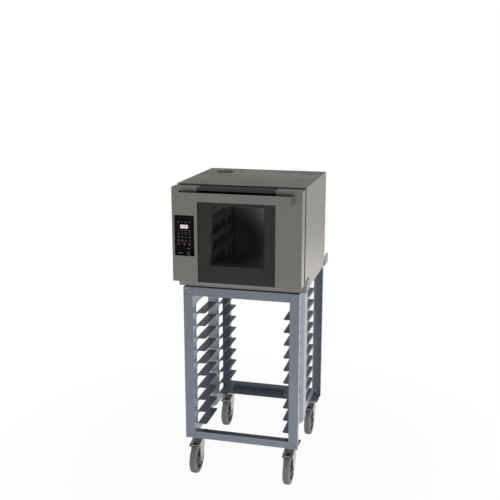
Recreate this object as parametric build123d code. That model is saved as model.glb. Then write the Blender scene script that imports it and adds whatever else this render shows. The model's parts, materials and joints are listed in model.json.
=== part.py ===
from build123d import *
import math
import os

# Electric convection oven on a wheeled tray stand, in millimetres.
# X runs to the user's right, Y runs to the back and Z runs up from the floor.
# Lengths along Y are first counted from the oven's front plane.
# At the end every piece moves by y_shift, so that the origin is under the middle of the whole.

os.makedirs("parts", exist_ok=True)

# Sheet metal and common clearances
sheet = 2.0
thin_sheet = 1.2
gap = 0.3
running_gap = 0.05

# Stand
stand_width = 556.0
stand_depth = 672.0
stand_front = -8.0
stand_top = 957.0
post_face = 45.0
post_lip = 20.0
post_leg = 30.0
top_beam_height = 42.0
top_beam_web = 60.0
bottom_beam_height = 35.0
bottom_beam_web = 104.0
rail_height = 22.0
rivet_hole = 5.0
rivet_head = 9.0
rivet_inset = 17.0
rivet_step = 12.0

# Tray slide panels of the stand
panel_clearance_bottom = 8.0
slide_rows = 10
slide_pitch = 63.5
top_slide_z = 813.0
window_length = 196.0
window_height = 48.0
window_corner = 14.0
front_window_y = 51.0
rear_window_y = 429.0
ledge_depth = 45.0
ledge_corner = 12.0
rib_depth = 12.0
rib_front_y = 262.0
rib_wall = 26.0
rib_floor = 67.0

# Locating tabs beside the oven
tab_height = 50.0
tab_length = 98.0
tab_corner = 25.0
tab_clearance = 1.0
front_tab_y = 22.0
rear_tab_y = 544.0

# Casters
wheel_diameter = 150.0
wheel_width = 33.0
tread_round = 7.0
core_diameter = 112.0
hub_diameter = 34.0
axle_diameter = 12.0
caster_height = 190.0
caster_trail = 35.0
caster_from_front = 58.0
caster_spacing_x = 464.0
plate_width = 80.0
plate_depth = 90.0
plate_thickness = 3.0
plate_hole = 9.0
race_diameter = 52.0
race_height = 17.0
fork_sheet = 2.5
fork_side_gap = 6.0
kingpin_diameter = 12.0
hood_tip_width = 9.0
hood_hole = 19.0
axle_head = 2.0
axle_head_diameter = 17.0
wheel_ribs = 5
wheel_rib_width = 12.0
wheel_turn = 20.0

# Oven body
oven_width = 600.0
rear_space = 59.0
roof_space = 38.0
plinth_height = 5.0
plinth_inset = 34.0
front_lip_height = 43.0
front_frame_thickness = 3.0
front_return = 18.0
top_screw_head = 8.0

# Air slots in the back panel
louvre_rows = 8
louvre_pitch = 14.0
louvre_gap = 4.0
louvre_length = 60.0
louvre_x = 177.5
louvre_drop = 90.0

# Cooking chamber
chamber_half_width = 178.0
chamber_depth = 486.0
chamber_floor = 60.0
chamber_height = 385.0
fan_space = 46.0
insulation_thickness = 30.0
gasket_width = 7.0
gasket_margin = 0.5

# Tray racks inside the chamber
rack_rows = 4
rack_below_chamber_top = 68.0
rack_above_chamber_floor = 86.0
runner_height = 28.0
runner_ledge = 12.0
rack_wall_gap = 8.0
rack_front_y = 8.0
rack_back_clearance = 48.0
rack_foot_clearance = 14.0
rack_head = 6.0
upright_wide = 45.0
upright_narrow = 18.0
upright_offset = 62.0

# Fan and heater
fan_diameter = 190.0
fan_height = 26.0
fan_blades = 12
fan_plate = 2.0
shaft_diameter = 12.0
motor_diameter = 110.0
motor_length = 42.0
motor_plate = 3.0
motor_plate_length = 140.0
motor_plate_width = 36.0
heater_diameter = 252.0
heater_tube = 8.0
terminal_diameter = 6.0
heater_spread = 18.0
probe_diameter = 4.0
inlet_hole = 14.0

# Door
door_width = 599.0
door_thickness = 65.0
door_gap = 20.0
door_top_drop = 4.0
glass_width = 359.0
glass_thickness = 5.0
window_width = 256.0
window_below_chamber_top = 47.0
window_above_chamber_floor = 64.0
door_frame_back = 6.0
inner_glass_thickness = 4.0
inner_glass_margin = 16.0
hinge_up = 4.0
hinge_back = 4.0
hinge_pin_diameter = 5.0
hinge_eye = 11.0
hinge_clearance = 1.0
hinge_pocket = 26.0
hinge_plate = 5.0
hinge_cheek = 3.0
hinge_cheek_height = 44.0
hinge_cheek_depth = 22.0
hinge_foot = 3.0
hinge_foot_width = 16.0
hinge_foot_below = 14.0
hinge_foot_above = 30.0
hinge_from_side = 28.0

# Door handle
handle_reach = 39.0
handle_height = 40.0
handle_sheet = 2.5
handle_half_length = 254.0
handle_flare = 12.0
handle_drop = 17.0
handle_foot = 16.0

# Control panel in the door
control_width = 92.5
control_height = 187.0
control_corner = 5.0
control_left = -287.5
control_bottom = 121.0
control_proud = 1.0
control_depth = 6.0

# Steam vent on the roof
vent_x = -193.0
vent_y = 422.0
vent_recess_diameter = 92.0
vent_recess_depth = 12.0
vent_tube_bore = 24.0
vent_rim = 32.0
vent_tube_wall = 1.5
vent_tube_proud = 3.0
vent_inlet_drop = 40.0

# Electrical parts
gland_bore = 16.0
gland_diameter = 28.0
gland_length = 22.0
gland_x = -oven_width / 2 + 50
gland_height = 70.0
board_length = 200.0
board_height = 160.0
board_standoff = 12.0
board_y = 120.0
board_z = 120.0

# Values that follow from the ones above
stand_back = stand_front + stand_depth
half_stand = stand_width / 2
stand_base = caster_height
panel_x = half_stand - post_face + sheet
oven_base = stand_top + plinth_height
oven_height = chamber_floor + chamber_height + roof_space
oven_top = oven_base + oven_height
oven_depth = chamber_depth + rear_space
half_oven = oven_width / 2
door_base = oven_base + front_lip_height
door_back = -door_gap
door_front = door_back - door_thickness
door_height = oven_height - front_lip_height - door_top_drop
door_top = door_base + door_height
half_door = door_width / 2
half_glass = glass_width / 2
handle_front = door_front - handle_reach
y_shift = -(handle_front + stand_back) / 2
chamber_z = oven_base + chamber_floor
chamber_top = chamber_z + chamber_height
fan_wall = chamber_half_width + fan_space
fan_y = chamber_depth / 2
fan_z = chamber_z + chamber_height / 2
probe_y = chamber_depth - 70
probe_z = chamber_top - 60
vent_inlet_z = chamber_top - vent_inlet_drop
vent_outside = vent_tube_bore + 2 * vent_tube_wall
hinge_y = door_back - hinge_back
hinge_z = door_base + hinge_up
window_z = chamber_z + window_above_chamber_floor
window_top = chamber_top - window_below_chamber_top
rack_height = chamber_height - rack_below_chamber_top - rack_above_chamber_floor
rack_pitch = rack_height / (rack_rows - 1)
swivel_y = (stand_front + caster_from_front, stand_back - caster_from_front)
swivel_x = caster_spacing_x / 2
corners = {
    "front_left": (-swivel_x, swivel_y[0]),
    "front_right": (swivel_x, swivel_y[0]),
    "rear_left": (-swivel_x, swivel_y[1]),
    "rear_right": (swivel_x, swivel_y[1]),
}


def block(x0, x1, y0, y1, z0, z1):
    """A box between two corners."""
    size = (x1 - x0, y1 - y0, z1 - z0)
    middle = ((x0 + x1) / 2, (y0 + y1) / 2, (z0 + z1) / 2)
    return Pos(*middle) * Box(*size)


def rod_x(x0, x1, y, z, diameter):
    """A round bar along X."""
    return Pos((x0 + x1) / 2, y, z) * Rot(0, 90, 0) * Cylinder(diameter / 2, x1 - x0)


def rod_y(y0, y1, x, z, diameter):
    """A round bar along Y."""
    return Pos(x, (y0 + y1) / 2, z) * Rot(90, 0, 0) * Cylinder(diameter / 2, y1 - y0)


def rod_z(z0, z1, x, y, diameter):
    """A round bar along Z."""
    return Pos(x, y, (z0 + z1) / 2) * Cylinder(diameter / 2, z1 - z0)


def plate_x(points, x0, x1):
    """A flat plate across X whose outline is a list of (y, z) points."""
    wire = Polyline(*[(x0, y, z) for y, z in points], close=True)
    return extrude(make_face(wire), amount=x1 - x0, dir=(1, 0, 0))


def plate_y(points, y0, y1):
    """A flat plate across Y whose outline is a list of (x, z) points."""
    wire = Polyline(*[(x, y0, z) for x, z in points], close=True)
    return extrude(make_face(wire), amount=y1 - y0, dir=(0, 1, 0))


def plate_z(points, z0, z1):
    """A flat plate across Z whose outline is a list of (x, y) points."""
    wire = Polyline(*[(x, y, z0) for x, y in points], close=True)
    return extrude(make_face(wire), amount=z1 - z0, dir=(0, 0, 1))


def mirrored(shape):
    """The same shape on the other side of the YZ plane."""
    return mirror(shape, about=Plane.YZ)


def save(shape, node):
    """Moves a piece to the part's own frame and writes it."""
    export_step(Pos(0, y_shift, 0) * shape, "parts/" + node + ".step")


# Stand frame


def rivet_points(low):
    """Places of a corner's two fastening holes, from the post's outer edge and its end."""
    first = (rivet_inset, rivet_inset / 2 + 1)
    second = (rivet_inset + rivet_step, rivet_inset + rivet_step - 4)
    return [(x, stand_base + z if low else stand_top - z) for x, z in (first, second)]


def post(back):
    """A bent corner post on the right: face, outer lip and inner leg."""
    face = block(half_stand - post_face, half_stand, 0, sheet, stand_base, stand_top)
    lip = block(half_stand - sheet, half_stand, 0, post_lip, stand_base, stand_top)
    leg_top = stand_top - top_beam_height - sheet
    leg_bottom = stand_base + bottom_beam_height + sheet
    leg = block(panel_x - sheet, panel_x, 0, post_leg, leg_bottom, leg_top)
    shape = face + lip + leg
    for low in (True, False):
        for inset, z in rivet_points(low):
            shape -= rod_y(-1, sheet + 1, half_stand - inset, z, rivet_hole)
    if back:
        return Pos(0, stand_back, 0) * mirror(shape, about=Plane.XZ)
    return Pos(0, stand_front, 0) * shape


def beam(top, back):
    """A cross beam behind the posts' faces: an upright flange and a level web."""
    half = half_stand - sheet - gap
    height = top_beam_height if top else bottom_beam_height
    depth = top_beam_web if top else bottom_beam_web
    z0 = stand_top - height if top else stand_base
    web_z = stand_top - sheet - gap if top else stand_base
    flange = block(-half, half, sheet, 2 * sheet, z0, z0 + height)
    shape = flange + block(-half, half, sheet, depth, web_z, web_z + sheet)
    for low in (True, False):
        for inset, z in rivet_points(low):
            for side in (-1, 1):
                shape -= rod_y(0, 3 * sheet, side * (half_stand - inset), z, rivet_hole)
    if not top:
        y_mid = caster_from_front
        for side in (-1, 1):
            for x, y in plate_holes(side * swivel_x, y_mid):
                shape -= rod_z(web_z - 1, web_z + sheet + 1, x, y, plate_hole)
    if back:
        return Pos(0, stand_back, 0) * mirror(shape, about=Plane.XZ)
    return Pos(0, stand_front, 0) * shape


def plate_holes(x, y):
    """The four bolt places of a caster plate."""
    dx = plate_width / 2 - 12
    dy = plate_depth / 2 - 12
    return [(x + i * dx, y + j * dy) for i in (-1, 1) for j in (-1, 1)]


def slide_windows():
    """Lower front corner of each window in a slide panel, as (y, z)."""
    rows = [top_slide_z - slide_pitch * row for row in range(slide_rows)]
    return [(y, z) for z in rows for y in (front_window_y, rear_window_y)]


def slide_panel():
    """The right side sheet with its pressed rib and its rows of punched windows."""
    z0 = stand_base + panel_clearance_bottom
    z1 = stand_top - sheet - gap
    y0 = stand_front + 2 * sheet + gap
    y1 = stand_back - 2 * sheet - gap
    a = rib_front_y
    b = a + rib_wall
    c = b + rib_floor
    d = c + rib_wall
    inner = [(panel_x, y0), (panel_x, a), (panel_x + rib_depth, b)]
    inner += [(panel_x + rib_depth, c), (panel_x, d), (panel_x, y1)]
    outer = [(x + sheet, y) for x, y in reversed(inner)]
    shape = plate_z(inner + outer, z0, z1)
    for y, z in slide_windows():
        hole = block(panel_x - 1, panel_x + sheet + 1, y, y + window_length, z, z + window_height)
        upper = hole.edges().filter_by(Axis.X).group_by(Axis.Z)[-1]
        shape -= fillet(upper, window_corner)
    return shape


def slide_ledges():
    """The right side's tray ledges, one level tongue for each window."""
    shapes = []
    for y, z in slide_windows():
        x1 = panel_x
        x0 = x1 - ledge_depth
        tongue = block(x0, x1, y + 1, y + window_length - 1, z - sheet, z)
        tips = tongue.edges().filter_by(Axis.Z).group_by(Axis.X)[0]
        shapes.append(fillet(tips, ledge_corner))
    return Compound(children=shapes)


def corner_rivets():
    """Pan-head rivets through the posts and beams."""
    shapes = []
    for low in (True, False):
        for inset, z in rivet_points(low):
            for side in (-1, 1):
                for face_y, way in ((stand_front, 1), (stand_back, -1)):
                    x = side * (half_stand - inset)
                    ends = sorted((face_y, face_y + way * 2 * sheet))
                    shank = rod_y(*ends, x, z, rivet_hole - 2 * running_gap)
                    tail = sorted((face_y + way * 2 * sheet, face_y + way * (2 * sheet + 1.5)))
                    shapes.append(shank + rod_y(*tail, x, z, rivet_head))
    return Compound(children=shapes)


def side_rails():
    """The top rails between the cross beams, with the bent tabs that keep the oven in place."""
    y0 = stand_front + top_beam_web + gap
    y1 = stand_back - top_beam_web - gap
    low = stand_top - sheet
    section = [(panel_x, low), (panel_x, stand_top), (half_stand, stand_top)]
    section += [(half_stand, stand_top - rail_height), (half_stand - sheet, stand_top - rail_height)]
    right = [plate_y(section + [(half_stand - sheet, low)], y0, y1)]
    x0 = half_oven + tab_clearance
    x1 = x0 + sheet
    foot_x = half_oven - plinth_inset + 1
    for y in (front_tab_y, rear_tab_y):
        upright = block(x0, x1, y, y + tab_length, stand_top, oven_base + tab_height)
        crown = upright.edges().filter_by(Axis.X).group_by(Axis.Z)[-1]
        foot = block(foot_x, x0, y, y + tab_length, stand_top, stand_top + sheet)
        right.append(fillet(crown, tab_corner) + foot)
    return Compound(children=right + [mirrored(shape) for shape in right])


# Casters


def caster_plates():
    """The four fixed plates with their upper bearing races."""
    shapes = []
    for x, y in corners.values():
        z0 = stand_base - plate_thickness
        half_w = plate_width / 2
        half_d = plate_depth / 2
        shape = block(x - half_w, x + half_w, y - half_d, y + half_d, z0, stand_base)
        shape = fillet(shape.edges().filter_by(Axis.Z), 8)
        for hole_x, hole_y in plate_holes(x, y):
            shape -= rod_z(z0 - 1, stand_base + 1, hole_x, hole_y, plate_hole)
        shape += rod_z(z0 - race_height / 2, z0, x, y, race_diameter)
        shape -= rod_z(z0 - race_height, stand_base + 1, x, y, kingpin_diameter + 2 * running_gap)
        shapes.append(shape)
    return Compound(children=shapes)


def caster_bolts():
    """Hexagon bolts and nuts that hold the caster plates to the beams."""
    shapes = []
    z0 = stand_base - plate_thickness
    z1 = stand_base + sheet
    across = plate_hole + 5
    for x, y in corners.values():
        for hole_x, hole_y in plate_holes(x, y):
            shank = rod_z(z0, z1 + 6, hole_x, hole_y, plate_hole - 1)
            hexagon = RegularPolygon(across / 2, 6, major_radius=False)
            nut = Pos(hole_x, hole_y, z1) * extrude(hexagon, amount=5)
            head = Pos(hole_x, hole_y, z0 - 4) * extrude(hexagon, amount=4)
            shapes.append(shank + nut + head)
    return Compound(children=shapes)


fork_inner = wheel_width / 2 + fork_side_gap
fork_outer = fork_inner + fork_sheet
fork_top = caster_height - plate_thickness - race_height
axle_z = wheel_diameter / 2


def fork(x, y):
    """The swivelling fork with its sloping hood and its kingpin, about the swivel axis at (x, y)."""
    lower = fork_top - fork_sheet
    back = 22
    hood_back = -14
    tip = -81
    tip_z = fork_top - 16
    crown = block(-fork_outer, fork_outer, hood_back - 1, back, lower, fork_top)
    hood = plate_x(
        [(hood_back, fork_top), (tip, tip_z), (tip, tip_z - fork_sheet), (hood_back, lower)],
        -fork_outer,
        fork_outer,
    )
    hood -= block(-fork_outer + hood_tip_width, fork_outer - hood_tip_width, tip - 1, tip + 10, 0, fork_top)
    hood -= rod_z(0, fork_top, 0, tip + 24, hood_hole)
    outline = [
        (tip, tip_z),
        (hood_back, fork_top),
        (back, fork_top),
        (back - 1, fork_top - 40),
        (4, axle_z + 22),
        (-caster_trail + 16, axle_z - 2),
        (-caster_trail + 10, axle_z - 14),
        (-caster_trail + 3, axle_z - 18),
        (-caster_trail - 6, axle_z - 16),
        (-caster_trail - 13, axle_z - 6),
        (-caster_trail - 13, fork_top - 24),
        (tip, tip_z - fork_sheet),
    ]
    leg = plate_x(outline, fork_inner, fork_outer)
    shape = crown + hood + leg + mirrored(leg)
    shape += rod_z(fork_top - 0.5, fork_top + race_height / 2 - gap, 0, 0, race_diameter - 4)
    shape += rod_z(fork_top, stand_base - 0.5, 0, 0, kingpin_diameter)
    shape -= rod_x(-60, 60, -caster_trail, axle_z, axle_diameter + 2 * running_gap)
    return Pos(x, y, 0) * shape


def axle_bolt(x, y):
    """The wheel's axle with its two low heads, held by the fork."""
    y -= caster_trail
    end = fork_outer + axle_head
    shape = rod_x(x - end, x + end, y, axle_z, axle_diameter)
    for side in (-1, 1):
        heads = sorted((x + side * (fork_outer + gap), x + side * end))
        shape += rod_x(*heads, y, axle_z, axle_head_diameter)
    return shape


def tyre(x, y):
    """The grey tread ring of a wheel."""
    ring = Cylinder(wheel_diameter / 2, wheel_width)
    ring = fillet(ring.edges().filter_by(GeomType.CIRCLE), tread_round)
    ring -= Cylinder(core_diameter / 2, wheel_width + 2)
    return Pos(x, y - caster_trail, axle_z) * Rot(0, 90, 0) * ring


def wheel_core(x, y):
    """The wheel's core with its rim, pockets, ribs, hub and axle bore."""
    radius = core_diameter / 2
    core = Cylinder(radius, wheel_width - 3)
    pocket = Cylinder(radius - 5, wheel_width) - Cylinder(hub_diameter / 2, wheel_width)
    for side in (-1, 1):
        core -= Pos(0, 0, side * (wheel_width / 2 + 4)) * pocket
    core += Cylinder(hub_diameter / 2, wheel_width + 2 * fork_side_gap - 2)
    web = wheel_width - 8
    for turn in range(wheel_ribs):
        rib = Pos((radius + hub_diameter / 2) / 2 - 3, 0, 0) * Box(radius - hub_diameter / 2, wheel_rib_width, web)
        core += Rot(0, 0, turn * 360 / wheel_ribs + wheel_turn) * rib
    core -= Cylinder(axle_diameter / 2 + running_gap, wheel_width * 3)
    return Pos(x, y - caster_trail, axle_z) * Rot(0, 90, 0) * core


# Oven body


def outer_shell():
    """The bent roof and side walls of the casing."""
    y0 = front_frame_thickness
    shape = block(-half_oven, half_oven, y0, oven_depth, oven_base, oven_top)
    inside = block(
        -half_oven + thin_sheet,
        half_oven - thin_sheet,
        y0 - 1,
        oven_depth + 1,
        oven_base - 1,
        oven_top - thin_sheet,
    )
    shape -= inside
    shape -= rod_z(oven_top - 5, oven_top + 5, vent_x, vent_y, vent_recess_diameter)
    return shape


def front_frame():
    """The face of the casing round the mouth of the chamber, with a return under the door."""
    face = block(-half_oven, half_oven, 0, front_frame_thickness, oven_base, oven_top)
    mouth = block(
        -chamber_half_width,
        chamber_half_width,
        -1,
        front_frame_thickness + 1,
        chamber_z,
        chamber_top,
    )
    shape = face - mouth
    inner = half_oven - thin_sheet - gap
    low = oven_base + sheet + gap
    return shape + block(-inner, inner, front_frame_thickness, front_return, low, low + sheet)


def base_pan():
    """The floor of the casing with the dark plinth that stands on the frame."""
    inner = half_oven - thin_sheet - gap
    y0 = front_frame_thickness + gap
    shape = block(-inner, inner, y0, oven_depth, oven_base, oven_base + sheet)
    half = half_oven - plinth_inset
    shape += block(-half, half, y0, oven_depth - plinth_inset, stand_top, oven_base)
    return shape


def back_panel():
    """The rear cover with louvres and the holes for the cable gland."""
    inner = half_oven - thin_sheet - gap
    z0 = oven_base + sheet + gap
    z1 = oven_top - thin_sheet - gap
    shape = block(-inner, inner, oven_depth - sheet, oven_depth, z0, z1)
    shape -= rod_y(oven_depth - 5, oven_depth + 5, gland_x, oven_base + gland_height, gland_bore + 6)
    for row in range(louvre_rows):
        z = oven_top - louvre_drop - row * louvre_pitch
        for side in (-1, 1):
            x = side * louvre_x
            x0 = x - louvre_length / 2
            shape -= block(x0, x0 + louvre_length, oven_depth - 5, oven_depth + 5, z, z + louvre_gap)
    return shape


def wall_holes(x0, x1):
    """Cutters for the heater's terminals and the probe in the fan wall."""
    holes = [rod_x(x0, x1, y, z, terminal_diameter + 2 * gap) for y, z in heater_ends()]
    holes.append(rod_x(x0, x1, probe_y, probe_z, probe_diameter + 2 * gap))
    return holes


def heater_ends():
    """Places of the heater's two terminals, as (y, z)."""
    drop = math.sqrt((heater_diameter / 2) ** 2 - heater_spread**2)
    return [(fan_y + side * heater_spread, fan_z - drop) for side in (-1, 1)]


def chamber_liner():
    """The steel chamber, open at the front, with the fan space on its right."""
    t = thin_sheet
    y0 = front_frame_thickness + gap
    outer = block(-chamber_half_width - t, fan_wall + t, y0, chamber_depth + t, chamber_z - t, chamber_top + t)
    inner = block(-chamber_half_width, fan_wall, y0 - 1, chamber_depth, chamber_z, chamber_top)
    shape = outer - inner
    cheek = block(chamber_half_width, fan_wall, y0, y0 + t, chamber_z, chamber_top)
    shape += cheek
    shape -= wall_holes(fan_wall - 5, fan_wall + 5)
    shape -= rod_x(fan_wall - 5, fan_wall + 5, fan_y, fan_z, shaft_diameter + 4)
    shape -= rod_x(-chamber_half_width - 5, -chamber_half_width + 5, vent_y, vent_inlet_z, vent_tube_bore)
    return shape


def insulation():
    """The mineral wool blanket round the chamber."""
    t = thin_sheet + gap
    grow = insulation_thickness
    y0 = front_frame_thickness + thin_sheet
    outer = block(
        -chamber_half_width - t - grow,
        fan_wall + t + 18,
        y0,
        chamber_depth + t + grow,
        chamber_z - t - grow,
        chamber_top + t + grow - 8,
    )
    inner = block(-chamber_half_width - t, fan_wall + t, y0 - 1, chamber_depth + t, chamber_z - t, chamber_top + t)
    shape = outer - inner
    shape -= wall_holes(fan_wall - 5, fan_wall + 60)
    shape -= rod_x(fan_wall - 5, fan_wall + 60, fan_y, fan_z, motor_diameter + 2)
    half_length = motor_plate_length / 2 + 2
    half_width = motor_plate_width / 2 + 2
    y0 = fan_y - half_length
    y1 = fan_y + half_length
    shape -= block(fan_wall - 5, fan_wall + 60, y0, y1, fan_z - half_width, fan_z + half_width)
    shape -= rod_z(vent_inlet_z - 20, oven_top, vent_x, vent_y, vent_outside + 2 * gap)
    shape -= rod_x(vent_x, -chamber_half_width, vent_y, vent_inlet_z, vent_outside + 2 * gap)
    return shape


def door_gasket():
    """The heat-proof seal round the chamber's mouth."""
    half = chamber_half_width + gasket_margin
    z0 = chamber_z - gasket_margin
    z1 = chamber_top + gasket_margin
    y0 = door_back + gap
    outer = block(-half - gasket_width, half + gasket_width, y0, 0, z0 - gasket_width, z1 + gasket_width)
    inner = block(-half, half, y0 - 1, 1, z0, z1)
    return fillet((outer - inner).edges().filter_by(Axis.Y), 3)


def tray_rack():
    """The left rack: uprights, bands and ledges of sheet strip, on pegs in the chamber wall."""
    x0 = -chamber_half_width + rack_wall_gap
    x1 = x0 + thin_sheet
    x2 = x1 + thin_sheet
    y0 = rack_front_y
    y1 = chamber_depth - rack_back_clearance
    z0 = chamber_z + rack_foot_clearance
    top_runner = chamber_top - rack_below_chamber_top
    z1 = top_runner + rack_head
    spans = [
        (y0, y0 + upright_narrow),
        (y0 + upright_offset, y0 + upright_offset + upright_wide),
        (y1 - upright_offset - upright_wide, y1 - upright_offset),
        (y1 - upright_narrow, y1),
    ]
    shapes = [block(x0, x1, a, b, z0, z1) for a, b in spans]
    for row in range(rack_rows):
        top = top_runner - row * rack_pitch
        low = top - runner_height
        shapes.append(block(x1, x2, y0, y1, low, top))
        shapes.append(block(x2, x0 + runner_ledge, y0, y1, low, low + thin_sheet))
    for a, b in spans[1:3]:
        middle = (a + b) / 2
        for z in (z0 + 10, z1 - 20):
            shapes.append(block(-chamber_half_width + gap / 3, x0, middle - 6, middle + 6, z, z + 10))
    return Compound(children=shapes)


def fan_baffle():
    """The removable right wall in front of the fan, with its intake grille and side slots."""
    x1 = chamber_half_width + sheet
    margin = 12
    y0 = front_frame_thickness + gap + thin_sheet + margin
    shape = block(
        chamber_half_width,
        x1,
        y0,
        chamber_depth - margin,
        chamber_z + margin,
        chamber_top - margin,
    )
    rings = ((0, 1), (22, 6), (44, 12), (66, 18))
    for radius, count in rings:
        for step in range(count):
            angle = 2 * math.pi * step / count
            y = fan_y + radius * math.cos(angle)
            z = fan_z + radius * math.sin(angle)
            shape -= rod_x(chamber_half_width - 2, x1 + 2, y, z, inlet_hole)
    for y in (y0, chamber_depth - margin - 16):
        for z in (chamber_z + margin, chamber_top - margin - 12):
            shape += block(x1, fan_wall - gap / 3, y, y + 16, z, z + 12)
    return shape


def fan_impeller():
    """The fan wheel: a back plate, a hub and straight blades."""
    x1 = fan_wall - 6
    x0 = x1 - fan_height
    shape = rod_x(x1 - fan_plate, x1, fan_y, fan_z, fan_diameter)
    shape += rod_x(x0 + 4, x1, fan_y, fan_z, shaft_diameter + 16)
    inner = fan_diameter * 0.3
    outer = fan_diameter / 2 - 2
    for step in range(fan_blades):
        blade = Pos(0, (inner + outer) / 2, 0) * Box(fan_height, outer - inner, fan_plate)
        turned = Rot(step * 360 / fan_blades, 0, 0) * blade
        shape += Pos((x0 + x1) / 2, fan_y, fan_z) * turned
    shape -= rod_x(x0 - 5, x1 + 5, fan_y, fan_z, shaft_diameter + 2 * running_gap)
    return shape


motor_x = fan_wall + thin_sheet + gap


def fan_shaft():
    """The motor's shaft, which carries the fan wheel and its nut."""
    x0 = fan_wall - 6 - fan_height - 4
    shape = rod_x(x0, motor_x + 30, fan_y, fan_z, shaft_diameter)
    nut = extrude(RegularPolygon(10, 6, major_radius=False), amount=8)
    shape += Pos(x0, fan_y, fan_z) * Rot(0, 90, 0) * nut
    return shape


def fan_motor():
    """The flat fan motor in the right side space."""
    x1 = motor_x + motor_length
    shape = rod_x(motor_x, x1, fan_y, fan_z, motor_diameter)
    half_length = motor_plate_length / 2
    half_width = motor_plate_width / 2
    y0 = fan_y - half_length
    y1 = fan_y + half_length
    shape += block(motor_x, motor_x + motor_plate, y0, y1, fan_z - half_width, fan_z + half_width)
    shape -= rod_x(motor_x - 1, motor_x + 31, fan_y, fan_z, shaft_diameter + 2 * running_gap)
    for x in range(4):
        groove = motor_x + 9 + x * 8
        ring = rod_x(groove, groove + 3, fan_y, fan_z, motor_diameter + 1)
        shape -= ring - rod_x(groove, groove + 3, fan_y, fan_z, motor_diameter - 8)
    return shape


def heating_element():
    """The ring heater round the fan with its two terminals through the wall."""
    x = chamber_half_width + sheet + 12
    ring = Torus(heater_diameter / 2, heater_tube / 2)
    shape = Pos(x, fan_y, fan_z) * Rot(0, 90, 0) * ring
    for y, z in heater_ends():
        shape += rod_x(x, fan_wall + thin_sheet + 8, y, z, terminal_diameter)
    return shape


def probe():
    """The temperature probe in the fan space."""
    x0 = chamber_half_width + sheet + 8
    shape = rod_x(x0, fan_wall + thin_sheet + 14, probe_y, probe_z, probe_diameter)
    return shape + rod_x(fan_wall - 4, fan_wall - 0.1, probe_y, probe_z, 3 * probe_diameter)


def vent_dish():
    """The dark dish sunk into the roof round the steam outlet."""
    r = vent_recess_diameter / 2 - gap
    low = oven_top - vent_recess_depth
    shape = rod_z(low, oven_top - thin_sheet / 2, vent_x, vent_y, 2 * r)
    shape -= rod_z(low + thin_sheet, oven_top + 1, vent_x, vent_y, 2 * (r - thin_sheet))
    return shape - rod_z(low - 1, oven_top, vent_x, vent_y, vent_outside + 2 * gap)


def vent_pipe():
    """The steam pipe from the chamber's left wall up through the dish."""
    top = oven_top - vent_tube_proud
    x1 = -chamber_half_width - thin_sheet - gap
    low = vent_inlet_z - vent_outside / 2
    shape = rod_z(low, top, vent_x, vent_y, vent_outside)
    shape += rod_x(vent_x, x1, vent_y, vent_inlet_z, vent_outside)
    shape += rod_z(top - vent_tube_wall, top, vent_x, vent_y, vent_rim)
    shape -= rod_z(low + vent_tube_wall, top + 1, vent_x, vent_y, vent_tube_bore)
    return shape - rod_x(vent_x, x1 + 1, vent_y, vent_inlet_z, vent_tube_bore)


def power_board():
    """The relay board in the left side space, with its relays and capacitors."""
    x0 = -half_oven + thin_sheet + board_standoff
    y0 = board_y
    y1 = y0 + board_length
    z0 = oven_base + board_z
    z1 = z0 + board_height
    shape = block(x0, x0 + 2, y0, y1, z0, z1)
    for i in range(4):
        y = y0 + (i + 0.5) * board_length / 4
        shape += block(x0 + 2, x0 + 20, y - 14, y + 14, z1 - 60, z1 - 25)
    for i in range(2):
        shape += rod_x(x0 + 2, x0 + 28, y0 + (i + 0.5) * board_length / 2, z0 + 50, 24)
    for y in (y0 + 8, y1 - 8):
        for z in (z0 + 8, z1 - 8):
            shape += rod_x(-half_oven + thin_sheet + 0.1, x0, y, z, 8)
    return shape


def terminal_block():
    """The mains terminals beside the cable gland."""
    z0 = oven_base + sheet + 0.1
    y1 = oven_depth - 40
    shape = block(gland_x - 30, gland_x + 30, y1 - 32, y1, z0, z0 + 26)
    for i in range(5):
        x = gland_x - 24 + i * 12
        shape += block(x - 4, x + 4, y1 - 26, y1 - 6, z0 + 26, z0 + 32)
    return shape


def cable_gland():
    """The gland in the back panel for the supply lead."""
    z = oven_base + gland_height
    shape = rod_y(oven_depth, oven_depth + gland_length, gland_x, z, gland_diameter)
    shape = shape + rod_y(oven_depth - 10, oven_depth, gland_x, z, gland_bore + 6 - 2 * running_gap)
    nut = extrude(RegularPolygon(gland_diameter / 2, 6, major_radius=False), amount=5)
    shape += Pos(gland_x, oven_depth - sheet, z) * Rot(90, 0, 0) * nut
    shape += Pos(gland_x, oven_depth + 6, z) * Rot(90, 0, 0) * nut
    shape -= rod_y(oven_depth - 20, oven_depth + gland_length + 5, gland_x, z, gland_bore)
    return shape


def casing_screws():
    """Pan-head screws along the back panel and the sides' front edges."""
    shapes = []
    for x in (-half_oven + 14, 0, half_oven - 14):
        for z in (oven_base + 16, oven_top - 16):
            head = rod_y(oven_depth, oven_depth + 2.2, x, z, top_screw_head)
            shapes.append(head)
    return Compound(children=shapes)


def hinge_brackets():
    """Fixed eyes on the front frame that carry the door's pins."""
    shapes = []
    x1 = half_door - hinge_from_side
    x0 = x1 - hinge_plate
    r = hinge_eye / 2
    arm = block(x0, x1, hinge_y, 0, hinge_z - r, hinge_z + r) + rod_x(x0, x1, hinge_y, hinge_z, hinge_eye)
    low = hinge_z - hinge_foot_below
    high = hinge_z + hinge_foot_above
    foot = block(x0 - hinge_foot_width, x1, -hinge_foot, 0, low, high)
    right = arm + foot
    right -= rod_x(x0 - 1, x1 + 1, hinge_y, hinge_z, hinge_pin_diameter + 2 * running_gap)
    shapes += [right, mirrored(right)]
    return Compound(children=shapes)


# Door


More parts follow.
